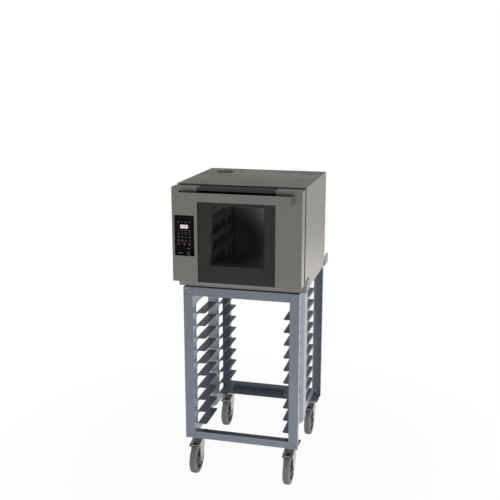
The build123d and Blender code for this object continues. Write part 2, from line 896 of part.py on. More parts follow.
def door_skin():
    """One bent steel cheek of the door on the right: face, outer side and hems."""
    x0 = half_glass + gap
    t = thin_sheet
    shape = block(x0, half_door, door_front, door_back, door_base, door_top)
    inner = block(x0 - 1, half_door - t, door_front + t, door_back + 1, door_base + t, door_top - t)
    shape -= inner
    low = shape.edges().filter_by(Axis.X).group_by(Axis.Z)[0].sort_by(Axis.Y)[0]
    shape = chamfer(low, t * 0.6)
    x1 = half_door - hinge_from_side + hinge_clearance
    x0 = half_door - hinge_from_side - hinge_plate - hinge_clearance
    return shape - block(x0, x1, hinge_y - hinge_eye / 2 - 2, 0, door_base - 1, hinge_z)


def control_pocket():
    """The space cut through the left cheek for the control panel."""
    grow = gap
    shape = block(
        control_left - grow,
        control_left + control_width + grow,
        door_front - 1,
        door_front + control_depth,
        door_base + control_bottom - grow,
        door_base + control_bottom + control_height + grow,
    )
    return fillet(shape.edges().filter_by(Axis.Y), control_corner + grow)


def door_outer_glass():
    """The dark full-height pane between the two cheeks."""
    return block(-half_glass, half_glass, door_front, door_front + glass_thickness, door_base, door_top)


def hinge_pockets():
    """Cutters for the two spaces at the door's lower back corners that hold the hinges."""
    x = half_door - hinge_from_side - hinge_plate / 2
    x0 = x - hinge_pocket
    x1 = x + hinge_pocket
    right = block(x0, x1, hinge_y - hinge_pocket, 0, door_base, hinge_z + hinge_cheek_height + 1)
    return [right, mirrored(right)]


def door_core():
    """The inner box frame that carries panes, cheeks, handle and hinge pins."""
    t = thin_sheet
    y0 = door_front + glass_thickness + gap
    y1 = door_back - door_frame_back - gap
    half = half_door - t - gap
    z0 = door_base + t + gap
    z1 = door_top - t - gap
    shape = block(-half, half, y0, y1, z0, z1)
    rim = 14
    shape -= block(-half + t, half - t, y0 + t, y1 + 1, z0 + t, z1 - t)
    shape -= block(-window_width / 2, window_width / 2, y0 - 1, y1 + 1, window_z, window_top)
    tube = block(
        -window_width / 2 - rim,
        window_width / 2 + rim,
        y0 + t,
        y1,
        window_z - rim,
        window_top + rim,
    )
    tube -= block(-window_width / 2, window_width / 2, y0 - 1, y1 + 1, window_z, window_top)
    shape += tube
    shape -= hinge_pockets()
    grow = control_depth + 1
    shape -= block(
        control_left - grow,
        control_left + control_width + grow,
        y0 - 1,
        y0 + 30,
        door_base + control_bottom - grow,
        door_base + control_bottom + control_height + grow,
    )
    shape += block(-half_glass + gap, half_glass - gap, y0, door_back, door_top - t, door_top)
    return shape


def door_inner_panel():
    """The door's inner steel tray round the window."""
    y0 = door_back - door_frame_back
    half = half_door - thin_sheet - gap
    z0 = door_base + thin_sheet + gap
    z1 = door_top - thin_sheet - gap
    shape = block(-half, half, y0, door_back, z0, z1)
    shape -= block(-half + 3, half - 3, y0 - 1, door_back - thin_sheet, z0 + 3, z1 - 3)
    shape += block(
        -window_width / 2 - 10,
        window_width / 2 + 10,
        y0,
        door_back,
        window_z - 10,
        window_top + 10,
    )
    shape -= block(-window_width / 2, window_width / 2, y0 - 1, door_back + 1, window_z, window_top)
    shape -= hinge_pockets()
    return shape


def door_inner_glass():
    """The inner pane, held against the frame's inner face."""
    y1 = door_back + inner_glass_thickness
    half = window_width / 2 + inner_glass_margin
    return block(
        -half,
        half,
        door_back,
        y1,
        window_z - inner_glass_margin,
        window_top + inner_glass_margin,
    )


def hinge_pins():
    """The door's hinge pins with the cheeks that hold them."""
    shapes = []
    x1 = half_door - hinge_from_side
    x0 = x1 - hinge_plate
    t = hinge_cheek
    clear = hinge_clearance
    z0 = door_base + thin_sheet + gap
    z1 = hinge_z + hinge_cheek_height
    front = hinge_y - hinge_cheek_depth
    back = door_back - gap
    for start in (x0 - clear - t, x1 + clear):
        shapes.append(block(start, start + t, front, back, z0, z1))
    bridge = block(x0 - clear - t, x1 + clear + t, front, front + t, z0, z1)
    pin = rod_x(x0 - clear - t, x1 + clear + t, hinge_y, hinge_z, hinge_pin_diameter)
    right = shapes[0] + shapes[1] + bridge + pin
    return Compound(children=[right, mirrored(right)])


def door_handle():
    """The bent plate handle with flared ends and feet on the door's face."""
    half = handle_half_length
    t = handle_sheet
    z1 = door_top - handle_drop
    z0 = z1 - handle_height
    root = half + handle_flare
    inner_half = half - t
    outline = [
        (-root, door_front),
        (-half, handle_front),
        (half, handle_front),
        (root, door_front),
        (root - handle_foot, door_front),
        (root - handle_foot, door_front - t),
        (root - t * 1.5, door_front - t),
        (inner_half, handle_front + t),
        (-inner_half, handle_front + t),
        (-root + t * 1.5, door_front - t),
        (-root + handle_foot, door_front - t),
        (-root + handle_foot, door_front),
    ]
    return plate_z(outline, z0, z1)


def handle_screws():
    """Screws that hold the handle's feet to the door."""
    shapes = []
    for side in (-1, 1):
        for dz in (10, handle_height - 10):
            x = side * (handle_half_length + handle_flare - handle_foot * 0.6)
            z = door_top - handle_drop - handle_height + dz
            y = door_front - handle_sheet
            shapes.append(rod_y(y - 2, y, x, z, 7))
    return Compound(children=shapes)


def control_panel():
    """The touch glass of the controls."""
    z0 = door_base + control_bottom
    x1 = control_left + control_width
    shape = block(control_left, x1, door_front - control_proud, door_front + 3, z0, z0 + control_height)
    shape = fillet(shape.edges().filter_by(Axis.Y), control_corner)
    return shape


def control_board():
    """The display and touch board behind the control glass."""
    z0 = door_base + control_bottom
    x1 = control_left + control_width
    y0 = door_front + 3
    shape = block(control_left + 5, x1 - 5, y0, y0 + 2, z0 + 6, z0 + control_height - 6)
    shape += block(control_left + 24, x1 - 24, y0 + 2, y0 + 9, z0 + 118, z0 + 146)
    shape += block(control_left + 15, x1 - 15, y0 + 2, y0 + 12, z0 + 20, z0 + 40)
    return shape


def save_frame():
    """Writes the fixed pieces of the stand."""
    front_right = post(False)
    rear_right = post(True)
    save(front_right, "post_front_right")
    save(mirrored(front_right), "post_front_left")
    save(rear_right, "post_rear_right")
    save(mirrored(rear_right), "post_rear_left")
    save(beam(True, False), "top_beam_front")
    save(beam(True, True), "top_beam_rear")
    save(beam(False, False), "bottom_beam_front")
    save(beam(False, True), "bottom_beam_rear")
    panel = slide_panel()
    save(panel, "slide_panel_right")
    save(mirrored(panel), "slide_panel_left")
    ledges = slide_ledges()
    save(ledges, "tray_ledges_right")
    save(mirrored(ledges), "tray_ledges_left")
    save(side_rails(), "top_side_rails")
    save(corner_rivets(), "corner_rivets")


def save_casters():
    """Writes the casters: fixed plates, and each fork and wheel."""
    save(caster_plates(), "caster_plates")
    save(caster_bolts(), "caster_bolts")
    for name, (x, y) in corners.items():
        save(Compound(children=[fork(x, y), axle_bolt(x, y)]), "caster_fork_" + name)
        save(tyre(x, y), "tyre_" + name)
        save(wheel_core(x, y), "wheel_core_" + name)


def save_oven():
    """Writes the fixed pieces of the oven."""
    rack = tray_rack()
    save(outer_shell(), "outer_shell")
    save(front_frame(), "front_frame")
    save(base_pan(), "base_pan")
    save(back_panel(), "back_panel")
    save(chamber_liner(), "chamber_liner")
    save(insulation(), "insulation")
    save(door_gasket(), "door_gasket")
    save(rack, "tray_rack_left")
    save(mirrored(rack), "tray_rack_right")
    save(fan_baffle(), "fan_baffle")
    save(fan_impeller(), "fan_impeller")
    save(fan_shaft(), "fan_shaft")
    save(fan_motor(), "fan_motor")
    save(heating_element(), "heating_element")
    save(probe(), "temperature_probe")
    save(vent_dish(), "vent_dish")
    save(vent_pipe(), "vent_pipe")
    save(power_board(), "power_board")
    save(terminal_block(), "terminal_block")
    save(cable_gland(), "cable_gland")
    save(casing_screws(), "casing_screws")
    save(hinge_brackets(), "hinge_brackets")


def save_door():
    """Writes the pieces that swing with the door."""
    cheek = door_skin()
    save(Compound(children=[cheek, mirrored(cheek) - control_pocket()]), "door_cheeks")
    save(door_outer_glass(), "door_outer_glass")
    save(door_core(), "door_core")
    save(door_inner_panel(), "door_inner_panel")
    save(door_inner_glass(), "door_inner_glass")
    save(hinge_pins(), "hinge_pins")
    save(door_handle(), "door_handle")
    save(handle_screws(), "handle_screws")
    save(control_panel(), "control_panel")
    save(control_board(), "control_board")


save_frame()
save_casters()
save_oven()
save_door()
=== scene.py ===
"""Dresses the convection oven and its wheeled tray stand for the studio picture."""

import json
import logging
import math
from dataclasses import dataclass
from enum import Enum
from typing import Callable, Sequence

import bpy
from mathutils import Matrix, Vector

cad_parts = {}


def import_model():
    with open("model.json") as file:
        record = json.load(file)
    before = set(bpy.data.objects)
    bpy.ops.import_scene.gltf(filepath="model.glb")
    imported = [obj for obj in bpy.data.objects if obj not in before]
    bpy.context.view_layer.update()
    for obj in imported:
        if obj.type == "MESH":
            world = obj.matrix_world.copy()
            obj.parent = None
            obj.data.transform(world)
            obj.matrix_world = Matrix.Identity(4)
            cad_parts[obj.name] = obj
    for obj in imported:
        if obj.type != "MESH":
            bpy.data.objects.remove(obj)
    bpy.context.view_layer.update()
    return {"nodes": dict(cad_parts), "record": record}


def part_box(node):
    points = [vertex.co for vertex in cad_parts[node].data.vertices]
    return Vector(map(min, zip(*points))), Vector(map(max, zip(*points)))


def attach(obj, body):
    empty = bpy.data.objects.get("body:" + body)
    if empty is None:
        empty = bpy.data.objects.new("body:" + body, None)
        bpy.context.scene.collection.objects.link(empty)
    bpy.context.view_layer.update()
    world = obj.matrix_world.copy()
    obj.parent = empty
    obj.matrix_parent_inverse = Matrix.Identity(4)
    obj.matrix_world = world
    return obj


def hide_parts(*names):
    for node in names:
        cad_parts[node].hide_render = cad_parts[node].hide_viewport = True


log = logging.getLogger("oven")
Colour = tuple[float, float, float]
Point = tuple[float, float, float]
Span = tuple[float, float]
Limits = tuple[float, float, float, float]
Piece = bpy.types.Object
Face = bpy.types.MeshPolygon
Socket = bpy.types.NodeSocket

PLACES = ("front_left", "front_right", "rear_left", "rear_right")
NOISE_RANGE = (0.3, 0.7)  # where nearly all of a noise lies
MIX_SHARE, MIX_FIRST, MIX_SECOND, MIX_RESULT = 0, 6, 7, 2  # a Mix node's colour sockets
SAME_CAD_POINT = 0.00001  # metres
SAME_BEVEL_POINT = 0.000002  # metres
STEEP = 0.7  # a normal's part along the axis that its face looks along


class Grain(Enum):
    """The direction in which sheet metal was brushed."""

    X = (1.0, 60.0, 60.0)
    Y = (60.0, 1.0, 60.0)
    Z = (60.0, 60.0, 1.0)
    NONE = (1.0, 1.0, 1.0)


# Finishes


def shaded(colour: str, factor: float = 1.0, lift: float = 0.0) -> Colour:
    """Turns a hex colour into linear light, made darker or lighter.

    Args:
        colour: Six hex digits.
        factor: What the light is multiplied by.
        lift: What is added to it.

    Returns:
        Red, green and blue from 0 to 1.
    """
    values = [int(colour[i : i + 2], 16) / 255 for i in (0, 2, 4)]
    light = [v / 12.92 if v <= 0.04045 else ((v + 0.055) / 1.055) ** 2.4 for v in values]
    return tuple(min(1.0, part * factor + lift) for part in light)


class Nodes:
    """A node tree that is put together step by step."""

    def __init__(self, holder: bpy.types.Material | bpy.types.World, empty: bool = True) -> None:
        """Takes over the node tree of a material or world.

        Args:
            holder: The material or world.
            empty: Whether its first nodes go.
        """
        holder.use_nodes = True
        self.tree = holder.node_tree
        if empty:
            self.tree.nodes.clear()

    def node(self, kind: str, **inputs: object) -> bpy.types.Node:
        """Adds a node.

        Args:
            kind: The node's class name after the start that all of them share.
            inputs: Constants or sockets by input, with spaces written as underscores.

        Returns:
            The new node.
        """
        made = self.tree.nodes.new("ShaderNode" + kind)
        for key, value in inputs.items():
            socket = made.inputs[key.replace("_", " ")]
            if isinstance(value, Socket):
                self.join(value, socket)
            else:
                socket.default_value = value
        return made

    def join(self, start: Socket, end: Socket) -> None:
        """Links two sockets."""
        self.tree.links.new(start, end)

    def math(self, kind: str, first: Socket, second: Socket) -> Socket:
        """Adds a sum of two values.

        Args:
            kind: The operation.
            first: The first value.
            second: The second value.

        Returns:
            The result's socket.
        """
        made = self.node("Math")
        made.operation = kind
        self.join(first, made.inputs[0])
        self.join(second, made.inputs[1])
        return made.outputs[0]

    def distance(
        self, start: Socket, centre: Point, reach: Span, values: Span = (0, 1), smooth: bool = False
    ) -> Socket:
        """Gives a value that changes with the distance from a point.

        Args:
            start: The coordinates.
            centre: The point.
            reach: Where the change starts and ends, in metres.
            values: The value near and far.
            smooth: Whether it starts and ends gently.

        Returns:
            The value socket.
        """
        length = self.node("VectorMath")
        length.operation = "DISTANCE"
        length.inputs[1].default_value = centre
        self.join(start, length.inputs[0])
        return self.spread(length.outputs["Value"], reach, values, smooth)

    def spread(self, value: Socket, start: Span, end: Span, smooth: bool = False) -> Socket:
        """Maps a value from one range to another.

        Args:
            value: The value.
            start: The range that it has.
            end: The range that it gets.
            smooth: Whether it starts and ends gently.

        Returns:
            The mapped socket.
        """
        limits = dict(zip(("From_Min", "From_Max", "To_Min", "To_Max"), (*start, *end)))
        made = self.node("MapRange", Value=value, **limits)
        made.interpolation_type = "SMOOTHSTEP" if smooth else "LINEAR"
        return made.outputs["Result"]

    def blend(self, share: Socket, first: bpy.types.Node, second: bpy.types.Node, end: str) -> None:
        """Ends the tree in a blend of two shaders.

        Args:
            share: The second shader's share.
            first: The first shader.
            second: The second shader.
            end: The output node's class name.
        """
        mix = self.node("MixShader")
        for start, socket in zip((share, first.outputs[0], second.outputs[0]), mix.inputs):
            self.join(start, socket)
        self.join(mix.outputs[0], self.node(end).inputs["Surface"])


class Recipe(Nodes):
    """A node material round one Principled shader."""

    def __init__(self, name: str) -> None:
        """Starts a material.

        Args:
            name: The material's name.
        """
        self.material = bpy.data.materials.new(name)
        super().__init__(self.material, empty=False)
        self.shader = self.tree.nodes["Principled BSDF"]

    def set(self, **values: object) -> None:
        """Sets constant values on the shader, with spaces written as underscores."""
        for key, value in values.items():
            self.shader.inputs[key.replace("_", " ")].default_value = value

    def feed(self, value: Socket, name: str) -> None:
        """Links a value to one of the shader's inputs."""
        self.join(value, self.shader.inputs[name])

    def coordinates(self, scale: Sequence[float]) -> Socket:
        """Gives object coordinates, stretched along X, Y and Z."""
        place = self.node("TexCoord").outputs["Object"]
        return self.node("Mapping", Scale=tuple(scale), Vector=place).outputs["Vector"]

    def noise(self, scale: float, detail: float, stretch: Sequence[float] = (1, 1, 1)) -> Socket:
        """Gives a noise value by its features per metre, its octaves and its stretch."""
        sizes = {"Scale": scale, "Detail": detail, "Roughness": 0.6}
        return self.node("TexNoise", Vector=self.coordinates(stretch), **sizes).outputs["Fac"]

    def rough(self, value: Socket, low: float, high: float) -> None:
        """Sets the shader's roughness by a noise, from its low end to its high end."""
        self.feed(self.spread(value, NOISE_RANGE, (low, high)), "Roughness")

    def mix(self, share: Socket, first: Colour, second: Colour | Socket) -> Socket:
        """Blends two colours.

        Args:
            share: The second one's share.
            first: The first colour.
            second: The second colour or its socket.

        Returns:
            The colour socket.
        """
        made = self.node("Mix")
        made.data_type = "RGBA"
        made.inputs[MIX_FIRST].default_value = (*first, 1)
        if isinstance(second, Socket):
            self.join(second, made.inputs[MIX_SECOND])
        else:
            made.inputs[MIX_SECOND].default_value = (*second, 1)
        self.join(share, made.inputs[MIX_SHARE])
        return made.outputs[MIX_RESULT]

    def tint(
        self, value: Socket, colour: str, dark: float, light: float = 1.0, lift: float = 0.0
    ) -> Socket:
        """Shades a colour by a noise.

        Args:
            value: The noise.
            colour: Six hex digits.
            dark: What the colour is multiplied by at the noise's low end.
            light: What it is multiplied by at the noise's high end.
            lift: What is added to the colour at its high end.

        Returns:
            The colour socket.
        """
        share = self.spread(value, NOISE_RANGE, (0, 1))
        return self.mix(share, shaded(colour, dark), shaded(colour, light, lift))

    def bump(self, value: Socket, strength: float, distance: float) -> None:
        """Raises the surface by a noise, up to a height in metres."""
        made = self.node("Bump", Strength=strength, Distance=distance, Height=value)
        self.feed(made.outputs["Normal"], "Normal")


@dataclass(frozen=True)
class Steel:
    """Brushed or rolled sheet steel."""

    name: str
    colour: str
    roughness: float = 0.34
    grain: Grain = Grain.X
    contrast: float = 0.06
    relief: float = 0.25
    metal: float = 1.0

    def make(self) -> bpy.types.Material:
        """Builds the material: fine brush lines, cloudy roughness and slight handling marks.

        Returns:
            The material.
        """
        recipe = Recipe(self.name)
        recipe.set(Metallic=self.metal)
        lines = recipe.noise(scale=34.0, detail=6.0, stretch=self.grain.value)
        clouds = recipe.noise(scale=3.5, detail=4.0)
        recipe.feed(self.tone(recipe, lines), "Base Color")
        recipe.rough(clouds, self.roughness - 0.05, self.roughness + 0.06)
        recipe.bump(lines, self.relief, distance=0.00008)
        return recipe.material

    def tone(self, recipe: Recipe, lines: Socket) -> Socket:
        """Gives the colour along the brush lines."""
        return recipe.tint(lines, self.colour, 1 - self.contrast, 1 + self.contrast)


@dataclass(frozen=True)
class LitAndShadedSteel(Steel):
    """Sheet steel with painted shade round a line along Y, and painted light in its pale colour far
    from the line.
    """

    # painted shade: the dark colour near the line
    shade_colour: str = "504f4c"
    line: Span = (-0.19, 1.07)  # X and Z
    reach: Span = (0.12, 0.25)

    def tone(self, recipe: Recipe, lines: Socket) -> Socket:
        """Gives the brushed colour, mixed with the painted shade colour near the line.

        Args:
            recipe: The material in the making.
            lines: The brush lines' noise.

        Returns:
            The colour socket.
        """
        x, z = self.line
        place = recipe.coordinates((1, 0, 1))
        share = recipe.distance(place, (x, 0, z), self.reach, smooth=True)
        return recipe.mix(share, shaded(self.shade_colour), super().tone(recipe, lines))


@dataclass(frozen=True)
class Paint:
    """Powder coat or enamel with a fine orange-peel skin."""

    name: str
    colour: str
    roughness: float = 0.42
    coat: float = 0.25
    peel: float = 0.25

    def make(self) -> bpy.types.Material:
        """Builds the material: cloudy colour, fine peel and rubbed places.

        Returns:
            The material.
        """
        recipe = Recipe(self.name)
        recipe.set(Coat_Weight=self.coat, Coat_Roughness=0.18, Specular_IOR_Level=0.5)
        clouds = recipe.noise(scale=5.0, detail=5.0)
        recipe.feed(recipe.tint(clouds, self.colour, 0.94, 1.05), "Base Color")
        rubbed = recipe.noise(scale=22.0, detail=6.0)
        recipe.rough(rubbed, self.roughness - 0.06, self.roughness + 0.08)
        recipe.bump(recipe.noise(scale=900.0, detail=2.0), self.peel, distance=0.00005)
        return recipe.material


@dataclass(frozen=True)
class Moulded:
    """Moulded rubber or plastic."""

    name: str
    colour: str
    roughness: float = 0.6
    grit: float = 1400.0
    relief: float = 0.2
    gloss: float = 0.4
    dust: float = 0.004

    def make(self) -> bpy.types.Material:
        """Builds the material: slight dust and a fine moulded texture.

        Returns:
            The material.
        """
        recipe = Recipe(self.name)
        recipe.set(Specular_IOR_Level=self.gloss)
        dust = recipe.noise(scale=16.0, detail=6.0)
        recipe.feed(recipe.tint(dust, self.colour, 0.88, 1.15, self.dust), "Base Color")
        recipe.rough(dust, self.roughness - 0.06, min(1.0, self.roughness + 0.1))
        recipe.bump(recipe.noise(self.grit, detail=3.0), self.relief, distance=0.00008)
        return recipe.material


@dataclass(frozen=True)
class Pane:
    """Tinted or clear sheet glass, seen through by the share that it lets past."""

    name: str
    colour: str
    tint: float = 0.5
    roughness: float = 0.03
    gloss: float = 1.0

    def make(self) -> bpy.types.Material:
        """Builds the material: smooth glass with faint smears in its gloss.

        Returns:
            The material.
        """
        recipe = Recipe(self.name)
        recipe.set(Alpha=self.tint, IOR=1.5, Specular_IOR_Level=self.gloss)
        smears = recipe.noise(scale=7.0, detail=5.0)
        recipe.feed(recipe.tint(smears, self.colour, 0.9), "Base Color")
        recipe.rough(smears, self.roughness, self.roughness + 0.04)
        return recipe.material


@dataclass(frozen=True)
class Glow:
    """A lit or printed sign of the controls, with a light of its own."""

    name: str
    colour: str
    strength: float = 1.0

    def make(self) -> bpy.types.Material:
        """Builds the material: a soft print with its own light.

        Returns:
            The material.
        """
        recipe = Recipe(self.name)
        light = (*shaded(self.colour), 1)
        recipe.set(Base_Color=light, Roughness=0.5, Emission_Strength=self.strength)
        tone = recipe.noise(scale=90.0, detail=2.0)
        recipe.feed(recipe.tint(tone, self.colour, 0.9), "Emission Color")
        return recipe.material


FINISHES = (
    Steel("front_steel", "969490", 0.36, Grain.Z, 0.05),
    # a lighter copy of the front steel, painted highlight on the front frame's lower fold
    Steel("fold_highlight_steel", "a3a19c", 0.34, Grain.X, 0.05),
    # side and roof steel are lighter copies of the front steel for side and top faces, painted
    # light
    Steel("side_steel", "bdb9b1", 0.34, Grain.Z, 0.05),
    Steel("roof_lit_steel", "a29e96", 0.38, Grain.X, 0.04),
    Steel("chamber_steel", "7a7772", 0.3, Grain.X, 0.04, 0.15),
    Steel("baffle_steel", "bab8b3", 0.3, Grain.Z, 0.04, 0.15),
    # chamber liner: near-white painted light, with painted shade round its lower left line
    LitAndShadedSteel("liner_steel", "f1f0ed", 0.3, Grain.X, 0.04, 0.15),
    Steel("rack_steel", "c4bfb6", 0.4, Grain.Y, 0.04, 0.25, 0.35),
    Steel("vent_steel", "aaa8a2", 0.5, Grain.NONE, 0.04, 0.1, 0.2),
    Steel("vent_tube_steel", "ccc9c0", 0.45, Grain.NONE, 0.04, 0.1, 0.2),
    # a darker copy of the front steel for the handle's ends, painted shade
    Steel("handle_end_shade_steel", "6b6965", 0.5, Grain.NONE, 0.04, 0.1, 0.3),
    Steel("zinc_plate", "b3b0aa", 0.3, Grain.NONE, 0.1, 0.1, 0.68),
    Steel("fastener_steel", "b8b6b0", 0.32, Grain.NONE, 0.06, 0.1),
    Steel("heater_steel", "5a5048", 0.45, Grain.NONE, 0.2, 0.2),
    Steel("motor_metal", "a4a6a8", 0.5, Grain.NONE, 0.08, 0.4),
    Paint("stand_paint", "8a929f", 0.36, 0.5),
    # a darker copy of the stand paint for the side rails' upper tabs, painted shade
    Paint("tab_shade_paint", "626873", 0.36, 0.4),
    # a darker copy of the stand paint for the tray ledges and the bottom beam's top, painted shade
    Paint("ledge_shade_paint", "737b89", 0.36, 0.4),
    Paint("dark_paint", "2a2a2c", 0.5, 0.1),
    Paint("door_edge_paint", "1f1f1e", 0.5, 0.0),
    Paint("window_reveal_paint", "62625f", 0.4, 0.2),
    # a near-black paint for a strip in the chamber's rear left corner, painted shade
    Paint("corner_shade_paint", "0e0e0d", 0.6, 0.0),
    # rivet heads are painted a near-white highlight; the low front ones get a near-black copy,
    # painted shade
    Paint("rivet_highlight_paint", "fcfdfe", 0.3, 0.6),
    Paint("rivet_shade_paint", "101216", 0.7, 0.0),
    Moulded("tyre_rubber", "878887", 0.7),
    Moulded("wheel_plastic", "747574", 0.5),
    Moulded("gasket_rubber", "1a1a1b", 0.55),
    Moulded("black_plastic", "1d1d1f", 0.45),
    Moulded("control_face", "141011", 0.3, 60.0, 0.02, 0.05, 0.0005),
    # the control panel's black print; the same finish paints the shade behind the handle on the
    # outer pane
    Moulded("control_band", "010101", 0.6, 60.0, 0.02, 0.02, 0.0),
    Moulded("board_green", "1f5a34", 0.4),
    Moulded("mineral_wool", "c8c0a0", 0.95, 300.0, 1.0),
    Moulded("glass_print", "444444", 0.4, 200.0, 0.02),
    # a lighter copy of the glass print for the pane's top edge, painted light
    Moulded("top_glass_lit_print", "545454", 0.4, 200.0, 0.02),
    Pane("outer_glass", "090909", 0.13, 0.03, 0.45),
    Pane("inner_glass", "101110", 0.05, 0.03, 0.3),
    Glow("display_white", "dfe6e4", 0.55),
    Glow("digit_red", "d8343a", 0.7),
    Glow("icon_grey", "8c8c90", 0.18),
    Glow("icon_orange", "5c4614", 0.08),
    Glow("icon_pink", "b05a70", 0.24),
    Glow("icon_yellow", "a0801c", 0.2),
)


# CAD nodes that keep their shape and only get a finish
DRESSED = {
    "liner_steel": ("chamber_liner",),
    "rack_steel": ("tray_rack_left", "tray_rack_right"),
    "baffle_steel": ("fan_baffle",),
    "chamber_steel": ("fan_impeller",),
    "fastener_steel": ("fan_shaft", "caster_bolts"),
    "motor_metal": ("fan_motor",),
    "heater_steel": ("heating_element", "temperature_probe"),
    "mineral_wool": ("insulation",),
    "board_green": ("power_board", "control_board"),
    "black_plastic": ("terminal_block",),
    "zinc_plate": ("hinge_brackets", "hinge_pins", "caster_plates"),
}


# Mesh tools


def only(*pieces: Piece) -> None:
    """Selects some objects alone and makes the first one active.

    Args:
        pieces: The objects.
    """
    bpy.ops.object.select_all(action="DESELECT")
    for piece in pieces:
        piece.select_set(True)
    bpy.context.view_layer.objects.active = pieces[0]


def settle(piece: Piece) -> None:
    """Moves a piece's place into its mesh."""
    only(piece)
    bpy.ops.object.transform_apply(location=True, rotation=True, scale=True)


def apply_all(piece: Piece) -> None:
    """Applies every modifier of a piece in order.

    Args:
        piece: The object.
    """
    only(piece)
    for modifier in list(piece.modifiers):
        bpy.ops.object.modifier_apply(modifier=modifier.name)


def edit(on: bool) -> None:
    """Enters or leaves edit mode."""
    bpy.ops.object.mode_set(mode="EDIT" if on else "OBJECT")


def edit_all() -> None:
    """Enters edit mode with the active piece's whole mesh selected."""
    edit(True)
    bpy.ops.mesh.select_all(action="SELECT")


def merge(distance: float) -> None:
    """Merges the active piece's points that are closer than a distance, and stays in edit mode."""
    edit_all()
    bpy.ops.mesh.remove_doubles(threshold=distance)


def soften(piece: Piece, width: float) -> None:
    """Rounds a piece's sharp edges and smooths its normals.

    Args:
        piece: The object.
        width: Bevel width in metres.
    """
    bevel = piece.modifiers.new("edge", "BEVEL")
    bevel.width = width
    bevel.segments = 2
    bevel.limit_method = "ANGLE"
    bevel.angle_limit = math.radians(30)
    bevel.harden_normals = False
    apply_all(piece)
    merge(SAME_BEVEL_POINT)
    edit(False)
    bpy.ops.object.shade_smooth_by_angle(angle=math.radians(35))
    weighted = piece.modifiers.new("normals", "WEIGHTED_NORMAL")
    weighted.keep_sharp = True
    weighted.weight = 100
    apply_all(piece)


def added(name: str, primitive: Callable[..., object], **values: object) -> Piece:
    """Adds one of Blender's primitives with nothing else selected.

    Args:
        name: The object's name.
        primitive: The operator.
        values: What the operator is given.

    Returns:
        The object.
    """
    bpy.ops.object.select_all(action="DESELECT")
    primitive(**values)
    bpy.context.object.name = name
    return bpy.context.object


def block(name: str, low: Point, high: Point, edge: float = 0.0) -> Piece:
    """Adds a box between two corners.

    Args:
        name: The object's name.
        low: Lowest corner in metres.
        high: Highest corner in metres.
        edge: Bevel width in metres, or 0 for a box that is softened later.

    Returns:
        The object, with its place in its mesh.
    """
    middle = [(a + b) / 2 for a, b in zip(low, high)]
    piece = added(name, bpy.ops.mesh.primitive_cube_add, size=1, location=middle)
    piece.scale = [b - a for a, b in zip(low, high)]
    settle(piece)
    if edge:
        soften(piece, edge)
    return piece


def cylinder(
    name: str, centre: Point, radius: float, length: float, tilt: float, sides: int
) -> Piece:
    """Adds a round bar.

    Args:
        name: The object's name.
        centre: Its middle in metres.
        radius: In metres.
        length: In metres.
        tilt: Its turn about X from upright, in radians.
        sides: Faces round it.

    Returns:
        The object, with its place in its mesh.
    """
    round_bar = bpy.ops.mesh.primitive_cylinder_add
    sizes = {"vertices": sides, "radius": radius, "depth": length}
    piece = added(name, round_bar, location=centre, rotation=(tilt, 0, 0), **sizes)
    settle(piece)
    return piece


def joined(name: str, pieces: Sequence[Piece]) -> Piece:
    """Joins several objects into one.

    Args:
        name: The joined object's name.
        pieces: The objects, of which the first is kept.

    Returns:
        The joined object.
    """
    only(*pieces)
    if len(pieces) > 1:
        bpy.ops.object.join()
    pieces[0].name = name
    return pieces[0]


def clean_copy(node: Piece, name: str, framed: bool = False) -> Piece:
    """Copies a CAD node's mesh, merges it and clears its flat faces' inner edges.

    Args:
        node: The CAD node.
        name: The copy's name.
        framed: Whether its faces go round large openings, and are split into convex ones.

    Returns:
        The copy.
    """
    piece = bpy.data.objects.new(name, node.data.copy())
    bpy.context.scene.collection.objects.link(piece)
    only(piece)
    merge(SAME_CAD_POINT)
    bpy.ops.mesh.dissolve_limited(angle_limit=math.radians(0.5))
    if framed:
        bpy.ops.mesh.select_all(action="SELECT")
        bpy.ops.mesh.vert_connect_concave()
    edit(False)
    if piece.data.has_custom_normals:
        bpy.ops.mesh.customdata_custom_splitnormals_clear()
    return piece


def lathe(name: str, profile: Sequence[Span], centre: Point, steps: int = 96) -> Piece:
    """Spins a profile round an axis along X.

    Args:
        name: The object's name.
        profile: (offset along X, radius) pairs round a closed outline, in metres.
        centre: A point on the axis.
        steps: Faces round the axis.

    Returns:
        The closed ring.
    """
    piece = added(name, bpy.ops.mesh.primitive_circle_add, vertices=len(profile))
    for vertex, (offset, radius) in zip(piece.data.vertices, profile):
        vertex.co = Vector((offset, 0, radius))
    edit_all()
    bpy.ops.mesh.spin(steps=steps, angle=2 * math.pi, center=(0, 0, 0), axis=(1, 0, 0))
    merge(SAME_CAD_POINT)
    bpy.ops.mesh.normals_make_consistent(inside=False)
    edit(False)
    piece.location = centre
    settle(piece)
    return piece


def open_plate(name: str, columns: Limits, rows: Limits, y: float, thickness: float) -> Piece:
    """Cuts an opening in a thin upright plate.

    Args:
        name: The object's name.
        columns: X of the left edge, the opening's two edges and the right edge, in metres.
        rows: Z of the same four edges from below.
        y: The plate's middle.
        thickness: In metres.

    Returns:
        The closed frame.
    """
    piece = added(name, bpy.ops.mesh.primitive_grid_add, x_subdivisions=3, y_subdivisions=3, size=2)
    edit(True)
    bpy.ops.mesh.select_all(action="DESELECT")
    edit(False)
    for vertex in piece.data.vertices:
        column, row = (round((place + 1) * 3 / 2) for place in vertex.co.xy)
        vertex.select = {column, row} <= {1, 2}
        vertex.co = Vector((columns[column], y, rows[row]))
    edit(True)
    bpy.ops.mesh.delete(type="ONLY_FACE")
    edit(False)
    wall = piece.modifiers.new("wall", "SOLIDIFY")
    wall.thickness = thickness
    wall.offset = 0
    apply_all(piece)
    return piece


